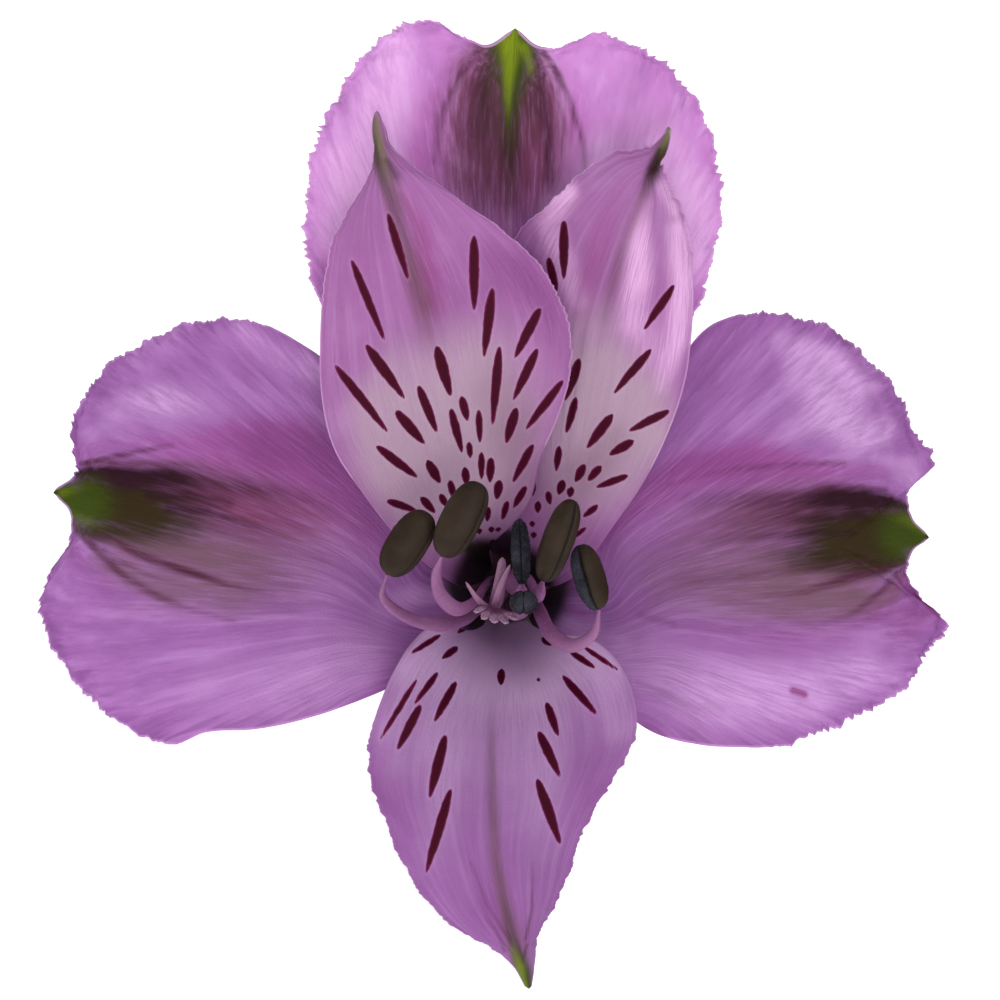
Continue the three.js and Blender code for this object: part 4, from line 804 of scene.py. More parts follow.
def ring_faces(rings: int, sides: int) -> list:
    """Numbers the faces of a closed skin over rings of points, with a fan on each end.

    Args:
        rings: how many rings there are, one after the other.
        sides: points in a ring; after the last ring come the two ends' centres.

    Returns:
        Quads round the skin and triangles on the ends, all facing out.
    """
    faces = []
    for i in range(rings - 1):
        for j in range(sides):
            a, b = i * sides + j, i * sides + (j + 1) % sides
            faces.append((a, b, b + sides, a + sides))
    first, last = rings * sides, (rings - 1) * sides
    for j in range(sides):
        faces.append((first, (j + 1) % sides, j))
        faces.append((first + 1, last + j, last + (j + 1) % sides))
    return faces


def with_centres(rings: Array) -> Array:
    """Lists the points of rings, then the centres of the first and the last ring."""
    return np.concatenate([rings.reshape(-1, 3), [rings[0].mean(0)], [rings[-1].mean(0)]])


def new_tree(name: str, inputs: dict[str, str]) -> tuple[Tree, Node]:
    """Starts a Geometry Nodes tree.

    Args:
        name: the tree's name.
        inputs: its inputs' names and kinds, after the geometry.

    Returns:
        The tree and its input node.
    """
    tree = bpy.data.node_groups.new(name, "GeometryNodeTree")
    tree.interface.new_socket("Geometry", in_out="INPUT", socket_type="NodeSocketGeometry")
    for key, kind in inputs.items():
        tree.interface.new_socket(key, in_out="INPUT", socket_type=f"NodeSocket{kind}")
    tree.interface.new_socket("Geometry", in_out="OUTPUT", socket_type="NodeSocketGeometry")
    return tree, tree.nodes.new("NodeGroupInput")


def run_tree(host: Thing, tree: Tree, values: dict) -> Thing:
    """Runs a Geometry Nodes tree on an object and keeps the result as its plain mesh.

    Args:
        host: the object; its own mesh is what the tree starts from.
        tree: the tree.
        values: what goes into its inputs, by name.

    Returns:
        The same object, with no modifier left.
    """
    modifier = host.modifiers.new("form", "NODES")
    modifier.node_group = tree
    for socket in tree.interface.items_tree:
        if socket.in_out == "INPUT" and socket.name in values:
            modifier[socket.identifier] = values[socket.name]
    graph = bpy.context.evaluated_depsgraph_get()
    made = bpy.data.meshes.new_from_object(host.evaluated_get(graph), depsgraph=graph)
    old, name = host.data, host.data.name
    host.modifiers.clear()
    host.data = made
    bpy.data.meshes.remove(old)
    made.name = name
    return host


def sweep_tree() -> Tree:
    """Builds the tree that sweeps an oval section along chains of edges.

    The chains carry `girth`, the section's half-width in metres, and `wide`, its direction.

    Returns:
        The tree, with inputs Sides, Flatness and Finish.
    """
    kinds = {"Sides": "Int", "Flatness": "Float", "Finish": "Material"}
    tree, start = new_tree("stalk_sweep", kinds)
    given = start.outputs
    girth, wide = (
        node(tree, "GeometryNodeInputNamedAttribute", {"data_type": kind, "Name": key}).outputs[0]
        for kind, key in (("FLOAT", "girth"), ("FLOAT_VECTOR", "wide"))
    )
    line = node(tree, "GeometryNodeMeshToCurve", links={"Mesh": given["Geometry"]})
    set_up = node(
        tree, "GeometryNodeSetCurveNormal",
        {"mode": "FREE"},
        {"Curve": line, "Normal": wide},
    )
    circle = node(
        tree, "GeometryNodeCurvePrimitiveCircle", {"Radius": 1.0}, {"Resolution": given["Sides"]}
    )
    oval = node(tree, "ShaderNodeCombineXYZ", {"X": 1.0, "Z": 1.0}, {"Y": given["Flatness"]})
    section = node(
        tree, "GeometryNodeTransform",
        links={"Geometry": circle, "Scale": oval},
    )
    swept = node(
        tree, "GeometryNodeCurveToMesh",
        {"Fill Caps": True},
        {"Curve": set_up, "Profile Curve": section, "Scale": girth},
    )
    soft = node(tree, "GeometryNodeSetShadeSmooth", links={"Geometry": swept})
    real = node(tree, "GeometryNodeRealizeInstances", links={"Geometry": soft})
    dressed = node(
        tree, "GeometryNodeSetMaterial",
        links={"Geometry": real, "Material": given["Finish"]},
    )
    node(tree, "NodeGroupOutput", links={"Geometry": dressed})
    return tree


def grain_tree(spread: Pair = (0.6, 1.35)) -> Tree:
    """Builds the tree that strews grains over the part of a skin whose `open` is high.

    Args:
        spread: the smallest and the largest grain's size, as shares of Radius.

    Returns:
        The tree, with inputs Density, Radius, Seed and Grain finish; the skin keeps its own.
    """
    kinds = {"Density": "Float", "Radius": "Float", "Seed": "Int", "Grain finish": "Material"}
    tree, start = new_tree("grain_cover", kinds)
    given = start.outputs
    opened = node(tree, "GeometryNodeInputNamedAttribute", {"data_type": "FLOAT", "Name": "open"})
    thick = node(
        tree, "ShaderNodeMath",
        {"operation": "MULTIPLY"},
        {0: opened, 1: given["Density"]},
    )
    places = node(
        tree, "GeometryNodeDistributePointsOnFaces",
        links={"Mesh": given["Geometry"], "Density": thick, "Seed": given["Seed"]},
    )
    ball = node(
        tree, "GeometryNodeMeshIcoSphere", {"Subdivisions": 1}, {"Radius": given["Radius"]}
    )
    low, high = spread
    sizes = node(
        tree, "FunctionNodeRandomValue",
        {"data_type": "FLOAT", 2: low, 3: high},
        {"Seed": given["Seed"]},
    )
    strewn = node(
        tree, "GeometryNodeInstanceOnPoints",
        links={
            "Points": places.outputs["Points"],
            "Instance": ball.outputs["Mesh"],
            "Rotation": places.outputs["Rotation"],
            "Scale": sizes.outputs[1],
        },
    )
    real = node(tree, "GeometryNodeRealizeInstances", links={"Geometry": strewn})
    soft = node(tree, "GeometryNodeSetShadeSmooth", links={"Geometry": real})
    dressed = node(
        tree, "GeometryNodeSetMaterial",
        links={"Geometry": soft, "Material": given["Grain finish"]},
    )
    both = node(tree, "GeometryNodeJoinGeometry")
    for part in (given["Geometry"], dressed.outputs[0]):
        tree.links.new(part, both.inputs[0])
    node(tree, "NodeGroupOutput", links={"Geometry": both})
    return tree


def place(piece: Thing, nodes: tuple[str, ...], slot: str) -> None:
    """Puts a finished piece in the part.

    Args:
        piece: the piece.
        nodes: the CAD nodes that it stands for.
        slot: the record's material slot named for the piece; not used.
    """
    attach(piece, BODY)
    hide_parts(*nodes)
    log.info("%s: %d faces for %s", piece.name, len(piece.data.polygons), ", ".join(nodes))
# ---- finishes


def lay(
    tree: Tree,
    under: Socket | str,
    colour: str,
    value: Socket,
    span: Pair,
    most: float = 1.0,
) -> Socket:
    """Lays a colour over the colour so far where a value rises through a span.

    Args:
        tree: the material's tree.
        under: the colour so far, or a plain one.
        colour: the plain colour that goes over it.
        value: what says where.
        span: the values at which the colour starts and is fully laid.
        most: how much of it covers at the most.

    Returns:
        The new colour.
    """
    share = node(
        tree, "ShaderNodeMapRange",
        {"interpolation_type": "SMOOTHSTEP", 1: span[0], 2: span[1], 4: most},
        {0: value},
    )
    plain = {6: linear(under)} if isinstance(under, str) else {}
    linked = {} if isinstance(under, str) else {6: under}
    settings = {"data_type": "RGBA", 7: linear(colour), **plain}
    return node(tree, "ShaderNodeMix", settings, {0: share, **linked}).outputs[2]


def surface(tree: Tree, height: Socket | Node, relief: Pair, settings: dict, links: dict) -> None:
    """Ends a finish: the surface, with its fine relief.

    Args:
        tree: the material's tree.
        height: what the relief follows.
        relief: how strong it is, and its height in mm.
        settings: values of the surface's inputs, by name.
        links: what feeds its inputs, by name.
    """
    strength, high = relief
    bump = node(
        tree, "ShaderNodeBump", {"Strength": strength, "Distance": high * MM}, {"Height": height}
    )
    skin = node(tree, "ShaderNodeBsdfPrincipled", settings, {"Normal": bump, **links})
    node(tree, "ShaderNodeOutputMaterial", links={"Surface": skin})


# Each mark's colour, how much of it the veins comb into streaks, and its strength. Most are
# pigments; one is painted light, for lit parts and highlights, and one is a darker tint that is
# partly painted shade. A skin has its own pale, painted light and magenta colours.
PIGMENTS = (
    (PALE, "", 0.2, 1.0),
    # painted light: lit parts and highlights
    (GLOW, "", 0.35, 0.9),
    (MAGENTA, "", 0.3, 0.9),
    # darker purple: partly pigment, partly painted shade
    (DUSK_AND_SHADE, "#7E407C", 0.2, 0.8),
    (WINE, "#743A5A", 0.2, 1.0),
    (MAUVE, "#70505F", 0.18, 0.9),
    (OLIVE, "#30240F", 0.15, 1.15),
    (PLUM, "#2A0C1A", 0.15, 1.1),
    (VEIN, "#4A1E34", 0.2, 0.85),
    (GREEN, "#354208", 0.15, 1.1),
    (LIME, "#8CA01A", 0.2, 1.0),
)


@dataclass(frozen=True)
class TepalSkin:
    """Petal epidermis: thin-walled cells full of tinted sap, drawn out along the veins.

    To the eye it is a soft satin that lets light through, streaked along the veins, with whitish
    glints where the cells' domes catch the light, and with pigments that fade along the veins.
    """

    name: str
    ground: str
    light: str
    cool: str
    pale: str
    # the colour of the painted light: lit parts and highlights
    lit_paint: str
    magenta: str
    rim: str
    # the deep claw: near-black painted shade of the throat on an upper face, the claw's own green
    # on a lower one
    claw: str
    rim_width: float = 0.2  # mm
    rim_share: float = 0.6
    contrast: float = 1.0
    strength: float = 1.0  # of the pigments, weaker on a lower face
    streak: Pair = (0.17, 3.2)  # mm, a few rows of epidermal cells
    vein: Pair = (0.8, 14.0)  # mm
    crease_shade: Pair = (0.4, 10.0)  # mm, the painted shade in the furrows between the veins near the margin
    crease_shade_reach: float = 5.0  # mm in from the margin that the furrows' painted shade shows
    cloud: float = 6.0  # mm
    cell: float = 0.15  # mm, four times life, so that the domes show
    relief: float = 0.08  # mm, of the domes and streaks
    halo: str = "#D9BBD8"  # round a fleck
    fleck_edge: str = "#640A3E"
    fleck: str = "#3C0019"
    wobble: float = 0.6  # mm, of a fleck's outline

    def build(self) -> Material:
        """Builds the finish.

        Returns:
            The material.
        """
        material, tree = new_material(self.name)
        fan = node(tree, "ShaderNodeAttribute", {"attribute_name": "fan"}).outputs["Vector"]
        spot = node(tree, "ShaderNodeTexCoord").outputs["Object"]
        streaks = self.drawn_out(tree, fan, self.streak, 3.0)
        veins = self.drawn_out(tree, fan, self.vein, 2.0)
        clouds, cells = (
            node(
                tree, "ShaderNodeTexNoise",
                {"Scale": 1 / (size * MM), "Detail": detail},
                {"Vector": spot},
            ).outputs["Fac"]
            for size, detail in ((self.cloud, 3.0), (self.cell, 1.0))
        )
        shade = self.ground
        for colour, value, span, most in (
            (self.light, clouds, (0.5, 0.72), 0.3),
            (self.cool, clouds, (0.5, 0.3), 0.3),
            (self.cool, veins, (0.52, 0.3), 0.4 * self.contrast),
            (self.light, veins, (0.52, 0.72), 0.4 * self.contrast),
            (self.cool, streaks, (0.48, 0.28), 0.3 * self.contrast),
            # painted highlight: whitish glints on the lightest streaks
            (self.light, streaks, (0.56, 0.8), 0.3 * self.contrast),
        ):
            shade = lay(tree, shade, colour, value, span, most)
        # Painted shade in the furrows between the veins, darkest at the margin.
        inward = node(tree, "ShaderNodeAttribute", {"attribute_name": "inward"}).outputs["Fac"]
        near = node(
            tree, "ShaderNodeMapRange", {1: 0.0, 2: self.crease_shade_reach, 3: 1.0, 4: 0.0}, {0: inward}
        )
        furrows = self.drawn_out(tree, fan, self.crease_shade, 2.0)
        deep = node(tree, "ShaderNodeMath", {"operation": "MULTIPLY"}, {0: furrows, 1: near})
        shade = lay(tree, shade, self.cool, deep.outputs[0], (0.36, 0.56), 0.7 * self.contrast)
        own = {PALE: self.pale, GLOW: self.lit_paint, MAGENTA: self.magenta}
        for mark, colour, combed, strength in PIGMENTS:
            share = strength * self.strength
            shade = self.pigment(tree, shade, mark, own.get(mark, colour), combed, share, streaks)
        shade = self.flecks(tree, shade, spot)
        shade = self.depths(tree, shade, inward)
        height = node(
            tree, "ShaderNodeMath", {"operation": "MULTIPLY_ADD", 1: 0.7}, {0: streaks, 2: cells}
        )
        rough = node(
            tree, "ShaderNodeMapRange", {1: 0.2, 2: 0.8, 3: 0.5, 4: 0.65}, {0: streaks}
        )
        surface(
            tree, height, (0.5, self.relief),
            {
                "IOR": 1.42,
                "Specular IOR Level": 0.12,
                "Subsurface Weight": 0.12,
                "Subsurface Radius": (1.0, 0.5, 0.9),
                "Subsurface Scale": 0.5 * MM,
            },
            {"Base Color": shade, "Roughness": rough},
        )
        return material

    @staticmethod
    def drawn_out(tree: Tree, fan: Socket, size: Pair, detail: float) -> Socket:
        """Draws noise out along the veins.

        Args:
            tree: the material's tree.
            fan: the way across and along the veins, in mm.
            size: width and length of a streak, in mm.
            detail: octaves of the noise.

        Returns:
            The noise, about 0.2 to 0.8.
        """
        scale = (1 / size[0], 1 / size[1], 1)
        drawn = node(tree, "ShaderNodeVectorMath", {"operation": "MULTIPLY", 1: scale}, {0: fan})
        return node(
            tree, "ShaderNodeTexNoise",
            {"noise_dimensions": "2D", "Scale": 1.0, "Detail": detail, "Roughness": 0.6},
            {"Vector": drawn},
        ).outputs["Fac"]

    def pigment(
        self,
        tree: Tree,
        under: Socket,
        mark: Mark,
        colour: str,
        combed: float,
        strength: float,
        streaks: Socket,
    ) -> Socket:
        """Lays one mark over the colour so far, combed out along the veins: a pigment, painted
        light or painted shade.

        Args:
            tree: the material's tree.
            under: the colour so far.
            mark: the attribute that says where the pigment is.
            colour: its colour at full strength.
            combed: how much of it the veins comb into streaks.
            strength: how strong it is.
            streaks: noise drawn out along the veins.

        Returns:
            The colour with the pigment.
        """
        amount = node(tree, "ShaderNodeAttribute", {"attribute_name": mark.value}).outputs["Fac"]
        low, high = strength * (1 - combed), strength * (1 + combed)
        comb = node(tree, "ShaderNodeMapRange", {1: 0.3, 2: 0.7, 3: high, 4: low}, {0: streaks})
        laid = node(
            tree, "ShaderNodeMath",
            {"operation": "MULTIPLY", "use_clamp": True},
            {0: amount, 1: comb},
        )
        return lay(tree, under, colour, laid.outputs[0], (0.0, 1.0))

    def flecks(self, tree: Tree, under: Socket, spot: Socket) -> Socket:
        """Lays the dark guide flecks, each with a faint pale halo, over the colour so far.

        Args:
            tree: the material's tree.
            under: the colour so far.
            spot: the place on the piece.

        Returns:
            The colour with the flecks.
        """
        depth = node(tree, "ShaderNodeAttribute", {"attribute_name": "fleck"}).outputs["Fac"]
        wobble = node(
            tree, "ShaderNodeTexNoise",
            {"Scale": 1 / (self.wobble * MM), "Detail": 1.0},
            {"Vector": spot},
        ).outputs["Fac"]
        edge = node(
            tree, "ShaderNodeMath", {"operation": "MULTIPLY_ADD", 1: 0.1}, {0: wobble, 2: depth}
        ).outputs[0]
        shade = under
        for colour, span, most in (
            (self.halo, (-0.3, 0.02), 0.07),
            (self.fleck_edge, (-0.02, 0.07), 1.0),
            (self.fleck, (0.06, 0.18), 1.0),
        ):
            shade = lay(tree, shade, colour, edge, span, most * self.strength)
        return shade

    def depths(self, tree: Tree, under: Socket, inward: Socket) -> Socket:
        """Paints shade over the claw deep in the throat, the claw's own green on a lower face, and
        lightens the thin margin.

        Args:
            tree: the material's tree.
            under: the colour so far.
            inward: the way in from the margin, in mm.

        Returns:
            The colour with the claw and the margin.
        """
        throat = node(tree, "ShaderNodeAttribute", {"attribute_name": "throat"}).outputs["Fac"]
        # painted shade of the throat on an upper face; the claw's green on a lower one
        shade = lay(tree, under, self.claw, throat, (0.0, 1.0), 0.95)
        span = (self.rim_width, self.rim_width * 0.4)
        return lay(tree, shade, self.rim, inward, span, self.rim_share)


@dataclass(frozen=True)
class StalkSkin:
    """Smooth plant skin over firm tissue.

    To the eye it has fine ridges that run along it and a faint waxy gloss.
    """

    name: str
    colour: str
    other: str
    pale: str
    ridge: float = 0.22  # mm between ridges
    length: float = 5.0  # mm that a ridge runs
    cloud: float = 5.0  # mm
    relief: float = 0.05  # mm, of the ridges
    rough: float = 0.45
    glow: float = 0.15

    def build(self) -> Material:
        """Builds the finish.

        Returns:
            The material.
        """
        material, tree = new_material(self.name)
        spot = node(tree, "ShaderNodeTexCoord").outputs["Object"]
        size = (self.ridge * MM, self.ridge * MM, self.length * MM)
        turn = {"vector_type": "TEXTURE", "Rotation": LIE.turn().to_euler(), "Scale": size}
        upright = node(tree, "ShaderNodeMapping", turn, {"Vector": spot})
        ridges = node(
            tree, "ShaderNodeTexNoise", {"Scale": 1.0, "Detail": 2.0}, {"Vector": upright}
        ).outputs["Fac"]
        clouds = node(
            tree, "ShaderNodeTexNoise",
            {"Scale": 1 / (self.cloud * MM), "Detail": 2.0},
            {"Vector": spot},
        ).outputs["Fac"]
        pale = node(tree, "ShaderNodeAttribute", {"attribute_name": "pale"}).outputs["Fac"]
        shade = lay(tree, self.colour, self.other, clouds, (0.35, 0.7), 0.6)
        shade = lay(tree, shade, self.other, ridges, (0.45, 0.75), 0.5)
        # The third colour where the attribute pale is high: paler on the stigma, darker on a
        # filament, where it is painted shade at the base.
        shade = lay(tree, shade, self.pale, pale, (0.0, 1.0))
        surface(
            tree, ridges, (0.35, self.relief),
            {
                "Roughness": self.rough,
                "IOR": 1.42,
                "Specular IOR Level": 0.35,
                "Subsurface Weight": self.glow,
                "Subsurface Radius": (1.0, 0.6, 0.6),
                "Subsurface Scale": 0.5 * MM,
            },
            {"Base Color": shade},
        )
        return material


@dataclass(frozen=True)
class Granular:
    """Dry plant skin or shed pollen.

    To the eye it is matt, minutely grained, and darker along its seams.
    """

    name: str
    colour: str
    other: str
    seam: str
    grain: float = 0.12  # mm, drawn coarser than the real 0.03 mm so that it shows
    cloud: float = 1.8  # mm
    relief: float = 0.05  # mm, of the grains
    rough: float = 0.7

    def build(self) -> Material:
        """Builds the finish.

        Returns:
            The material.
        """
        material, tree = new_material(self.name)
        spot = node(tree, "ShaderNodeTexCoord").outputs["Object"]
        grain, clouds = (
            node(
                tree, "ShaderNodeTexNoise",
                {"Scale": 1 / (size * MM), "Detail": 2.0},
                {"Vector": spot},
            ).outputs["Fac"]
            for size in (self.grain, self.cloud)
        )
        seam = node(tree, "ShaderNodeAttribute", {"attribute_name": "seam"}).outputs["Fac"]
        shade = lay(tree, self.colour, self.other, clouds, (0.35, 0.7), 0.7)
        shade = lay(tree, shade, self.other, grain, (0.5, 0.75), 0.45)
        shade = lay(tree, shade, self.seam, seam, (0.1, 0.8))
        surface(
            tree, grain, (0.5, self.relief),
            {"Roughness": self.rough, "Specular IOR Level": 0.18, "IOR": 1.45},
            {"Base Color": shade},
        )
        return material


# ---- tepals


class Whorl(Enum):
    """The two rings of three tepals."""

    OUTER = "outer_tepal"
    INNER = "inner_tepal"


class Draw(IntEnum):
    """What a tepal's seed is raised by for each of its random draws."""

    VEINS = 0
    TEETH = 0
    SMALL_TEETH = 7
    RUFFLES = 21
    FURROWS = 31
    FINE_VEINS = 32
    UNEVEN = 40
    FURROW_RUNS = 51
    NICKS = 60


@dataclass(frozen=True)
class Tepal:
    """One tepal: a thin waved blade from its claw on the ovary to its pointed tip.

    Fields give its rows of points, where its margins' teeth start, in rows from the claw, the
    flecks and strokes of pigment it carries, and where its veins fan out from, as x, y. Lengths
    are in mm. A pair of rows says where a change starts and ends, from the claw; a pair named
    back says it back from the tip.
    """

    name: str
    whorl: Whorl
    rows: tuple
    strokes: tuple
    toothed_from: Pair
    fan_from: Pair
    seed: int
    flecks: tuple = ()
    per_row: int = 26
    columns: int = 112
    blade: float = 0.34  # thick between the veins
    margin: float = 0.12
    thinning: float = 2.2  # the outer part of the half-width that thins is one over this
    tip: float = 0.42  # thick, where the blade is fleshy
    tip_back: Pair = (2.4, 0.8)
    point: float = 0.45  # share by which the tip thins again
    point_back: Pair = (0.6, 0)
    rib: float = 0.22  # how far the midrib stands out on the lower face
    rib_width: float = 0.7
    rib_back: Pair = (3.0, 0)
    tooth_pitch: float = 0.8
    tooth_depth: float = 0.34
    small_teeth: float = 0.45  # length and depth of the small teeth, as a share of the others'
    nick_pitch: float = 3.4  # length and depth of the nicks, as multiples of the teeth's
    nick_depth: float = 1.1
    uneven: Triple = (0.85, 0.5, 9.0)  # depth's mean and spread, its length
    teeth_ease: float = 0.6  # rows each way over which the teeth start
    teeth_back: Pair = (2.2, 1.0)
    tooth_reach: float = 1.1  # how far in from the margin a tooth pulls the blade
    least_half: float = 0.5  # half-width below which nothing gets steeper
    look: float = 0.2  # rows each way that give the midrib's direction
    streak_half: float = 11.0  # half-width of the claw, as the streaks count it
    streak_turn: float = 15.0  # width that a fan of one radian has, as the streaks count it
    fan_rows: Pair = (2.2, 4.2)
    drawn_in: float = 0.9  # how far the veins draw together again at the tip
    drawn_width: float = 4.5
    waved_rows: Pair = (3.0, 6.0)
    still_back: Pair = (3.0, 1.2)
    ruffle: float = 0.22
    ruffle_length: float = 7.0
    crinkle: float = 0.1  # height of the furrows between the veins near the margins
    crinkle_pitch: float = 0.6
    crinkle_reach: float = 6.0
    crinkle_runs: Triple = (0.7, 0.6, 5.0)  # mean and spread, length
    fine_vein: Pair = (0.02, 1.1)  # height and pitch
    vein: Pair = (0.07, 3.6)
    throat: Pair = (3.5, 8.0)  # heights between which the claw's tint ends: painted shade of the throat on the upper face, the claw's own green on the lower
    rimmed_rows: Pair = (3.0, 4.5)
    rimless: float = 2.0  # what keeps the pale rim off the claw
    foot: float = 0.08  # rows by which the claw runs down into the top of the ovary

    @property
    def last(self) -> int:
        """Gives the number of the row at the tip."""
        return len(self.rows) - 1

    def lines(self, s: Array) -> tuple[Array, Array, Array]:
        """Reads the left margin, the midrib and the right margin at rows s."""
        rows = np.array(self.rows, float)
        return through(rows[:, 0], s), through(rows[:, 1], s), through(rows[:, 2], s)

    def grid(self) -> tuple[Array, Array]:
        """Gives the rows s and the places t across, -1 to 1, of the mesh."""
        s = np.linspace(-self.foot, self.last, self.last * self.per_row + 1)
        return s, np.linspace(-1, 1, self.columns + 1)

    def tipward(self, back: Pair, s: Array) -> Array:
        """Rises smoothly from 0 to 1 between two places, in rows back from the tip."""
        return smooth(self.last - back[0], self.last - back[1], s)

    def toothing(self, s: Array, left: Array, right: Array) -> list[Array]:
        """Finds how far each margin stands out with its teeth.

        Args:
            s: the rows.
            left: points of the left margin, one for each row.
            right: points of the right margin.

        Returns:
            For the left and the right margin how far it stands out at each row, in mm.
        """
        pitch, depth = self.tooth_pitch, self.tooth_depth
        mean, spread, length = self.uneven
        outs = []
        for k, line in enumerate((left, right)):
            way, seed, start = run_length(line), self.seed + k, self.toothed_from[k]
            awake = smooth(start - self.teeth_ease, start + self.teeth_ease, s)
            awake *= 1 - self.tipward(self.teeth_back, s)
            big, small, nicks = (
                teeth(way, pitch * longer, depth * deeper, seed + draw)
                for longer, deeper, draw in (
                    (1, 1, Draw.TEETH),
                    (self.small_teeth, self.small_teeth, Draw.SMALL_TEETH),
                    (self.nick_pitch, self.nick_depth, Draw.NICKS),
                )
            )
            uneven = mean + spread * ripple(way, length, seed + Draw.UNEVEN)
            outs.append((big * uneven + small + nicks) * awake)
        return outs

    def middle(self) -> tuple[Array, Fields]:
        """Shapes the middle sheet of the blade.

        Returns:
            Its points, row by row, and for each point the places s and t, the half-width of its
            row and the way in from the margin, in mm, and the direction out of its upper face.
        """
        s, t = self.grid()
        left, rib, right = self.lines(s)
        ahead = self.lines(np.minimum(self.last, s + self.look))[1]
        behind = self.lines(np.maximum(0, s - self.look))[1]
        normal = unit(np.cross(right - left, ahead - behind))
        points = np.zeros((len(s), len(t), 3))
        out_of = np.zeros((len(s), len(t), 3))
        half = np.zeros((len(s), len(t)))
        for line, out, side in zip((left, right), self.toothing(s, left, right), (t < 0, t >= 0)):
            way = line - rib
            lift = np.sum(way * normal, -1, keepdims=True)
            flat = way - lift * normal
            wide = np.linalg.norm(flat, axis=-1)
            reach = np.abs(t[side])
            broad = np.maximum(wide, self.least_half)
            near = smooth(0, 1, 1 - (1 - reach) * wide[:, None] / self.tooth_reach)
            stretch = reach + near * (out / broad)[:, None]
            points[:, side] = (
                rib[:, None]
                + flat[:, None] * stretch[..., None]
                + (normal * lift)[:, None] * (reach**2)[None, :, None]
            )
            steep = (2 * lift[:, 0] / broad**2)[:, None] * reach
            out_of[:, side] = unit(normal[:, None] - flat[:, None] * steep[..., None])
            half[:, side] = wide[:, None]
        places = {
            "s": np.repeat(s[:, None], len(t), 1),
            "t": np.repeat(t[None], len(s), 0),
            "half": half,
            "normal": out_of,
        }
        places["inward"] = (1 - np.abs(places["t"])) * half
        return points, places

    def fan(self, points: Array, places: Fields) -> Array:
        """Measures across and along the veins, in mm, at each point.

        An inner tepal's veins follow its midrib and margins. An outer one's fan out from its
        throat and draw together again towards the tip, where they run beside the midrib.

        Args:
            points: the middle sheet.
            places: what `middle` says of its points.

        Returns:
            A vector for each point: across, along and 0.
        """
        way = np.stack([run_length(points[:, j]) for j in range(points.shape[1])], 1)
        across = places["t"] * self.streak_half
        if self.whorl is Whorl.INNER:
            return np.stack([across, way, 0 * way], -1)
        start = np.array(self.fan_from, float)
        reach = np.array(self.rows[-1][1][:2], float) - start
        long = math.hypot(*reach)
        off = (points[..., :2] - start) / long
        ahead = off @ (reach / long)
        aside = off @ (np.array([-reach[1], reach[0]]) / long)
        beside = np.exp(-((aside * long / self.drawn_width) ** 2))
        drawn_in = self.drawn_in * np.clip(ahead, 0, 1) ** 6 * beside
        fanned = -np.arctan2(aside, ahead) * self.streak_turn / (1 - drawn_in)
        free = smooth(*self.fan_rows, places["s"])
        return np.stack([across * (1 - free) + fanned * free, way, 0 * way], -1)

    def wave(self, places: Fields, fan: Array) -> Array:
        """Waves the blade: ruffles at its margins and low ridges over its veins.

        Args:
            places: what `middle` says of its points.
            fan: the way across and along the veins at each point.

        Returns:
            How far each point moves out of the sheet, in mm.
        """
        s, t = places["s"], places["t"]
        across, along = fan[..., 0], fan[..., 1]
        held = smooth(*self.waved_rows, s) * (1 - self.tipward(self.still_back, s))
        one, two = (
            ripple(along, self.ruffle_length, self.seed + Draw.RUFFLES + k) for k in range(2)
        )
        ruffles = self.ruffle * np.where(t < 0, one, two) * np.abs(t) ** 3
        near = np.clip(1 - places["inward"] / self.crinkle_reach, 0, 1)
        mean, spread, length = self.crinkle_runs
        furrows = self.crinkle * near * ripple(across, self.crinkle_pitch, self.seed + Draw.FURROWS)
        furrows *= mean + spread * ripple(along, length, self.seed + Draw.FURROW_RUNS)
        fine, large = (
            height * ripple(across, pitch, self.seed + draw)
            for (height, pitch), draw in (
                (self.fine_vein, Draw.FINE_VEINS), (self.vein, Draw.VEINS),
            )
        )
        return (ruffles + furrows + (fine + large) * (1 - np.abs(t) ** 6)) * held

    def marks(self, points: Array, places: Fields) -> Fields:
        """Finds every mark's strength at each point, pigment, painted light and painted shade, and
        what else the finishes read.

        Args:
            points: the middle sheet.
            places: what `middle` says of its points.

        Returns:
            The attributes of the mesh by name, one value for each point.
        """
        plane = points[..., :2]
        found = {mark.value: np.zeros(plane.shape[:-1]) for mark in Mark}
        for mark, *stroke in self.strokes:
            left = (1 - found[mark.value]) * (1 - stroke_strength(plane, stroke))
            found[mark.value] = 1 - left
        # depth in the throat, where the upper face takes painted shade
        found["throat"] = 1 - smooth(*self.throat, points[..., 2])
        found["fleck"] = fleck_depth(plane, self.flecks)
        rimless = self.rimless * (1 - smooth(*self.rimmed_rows, places["s"]))
        found["inward"] = places["inward"] + rimless
        return found

    def faces_off(self, places: Fields) -> tuple[Array, Array]:
        """Finds how far the two faces stand off the middle sheet.

        Args:
            places: what `middle` says of its points.

        Returns:
            For the upper and the lower face the distance at each point, in mm.
        """
        s, t = places["s"], places["t"]
        inner = smooth(0, 1, (1 - np.abs(t)) * self.thinning)
        thick = self.margin + (self.blade - self.margin) * inner
        tip = self.tipward(self.tip_back, s)
        pointed = 1 - self.point * self.tipward(self.point_back, s)
        thick = thick * (1 - tip) + self.tip * tip * pointed
        rib = self.rib * np.exp(-((places["half"] * t / self.rib_width) ** 2))
        rib *= 1 - self.tipward(self.rib_back, s)
        return thick / 2, thick / 2 + rib

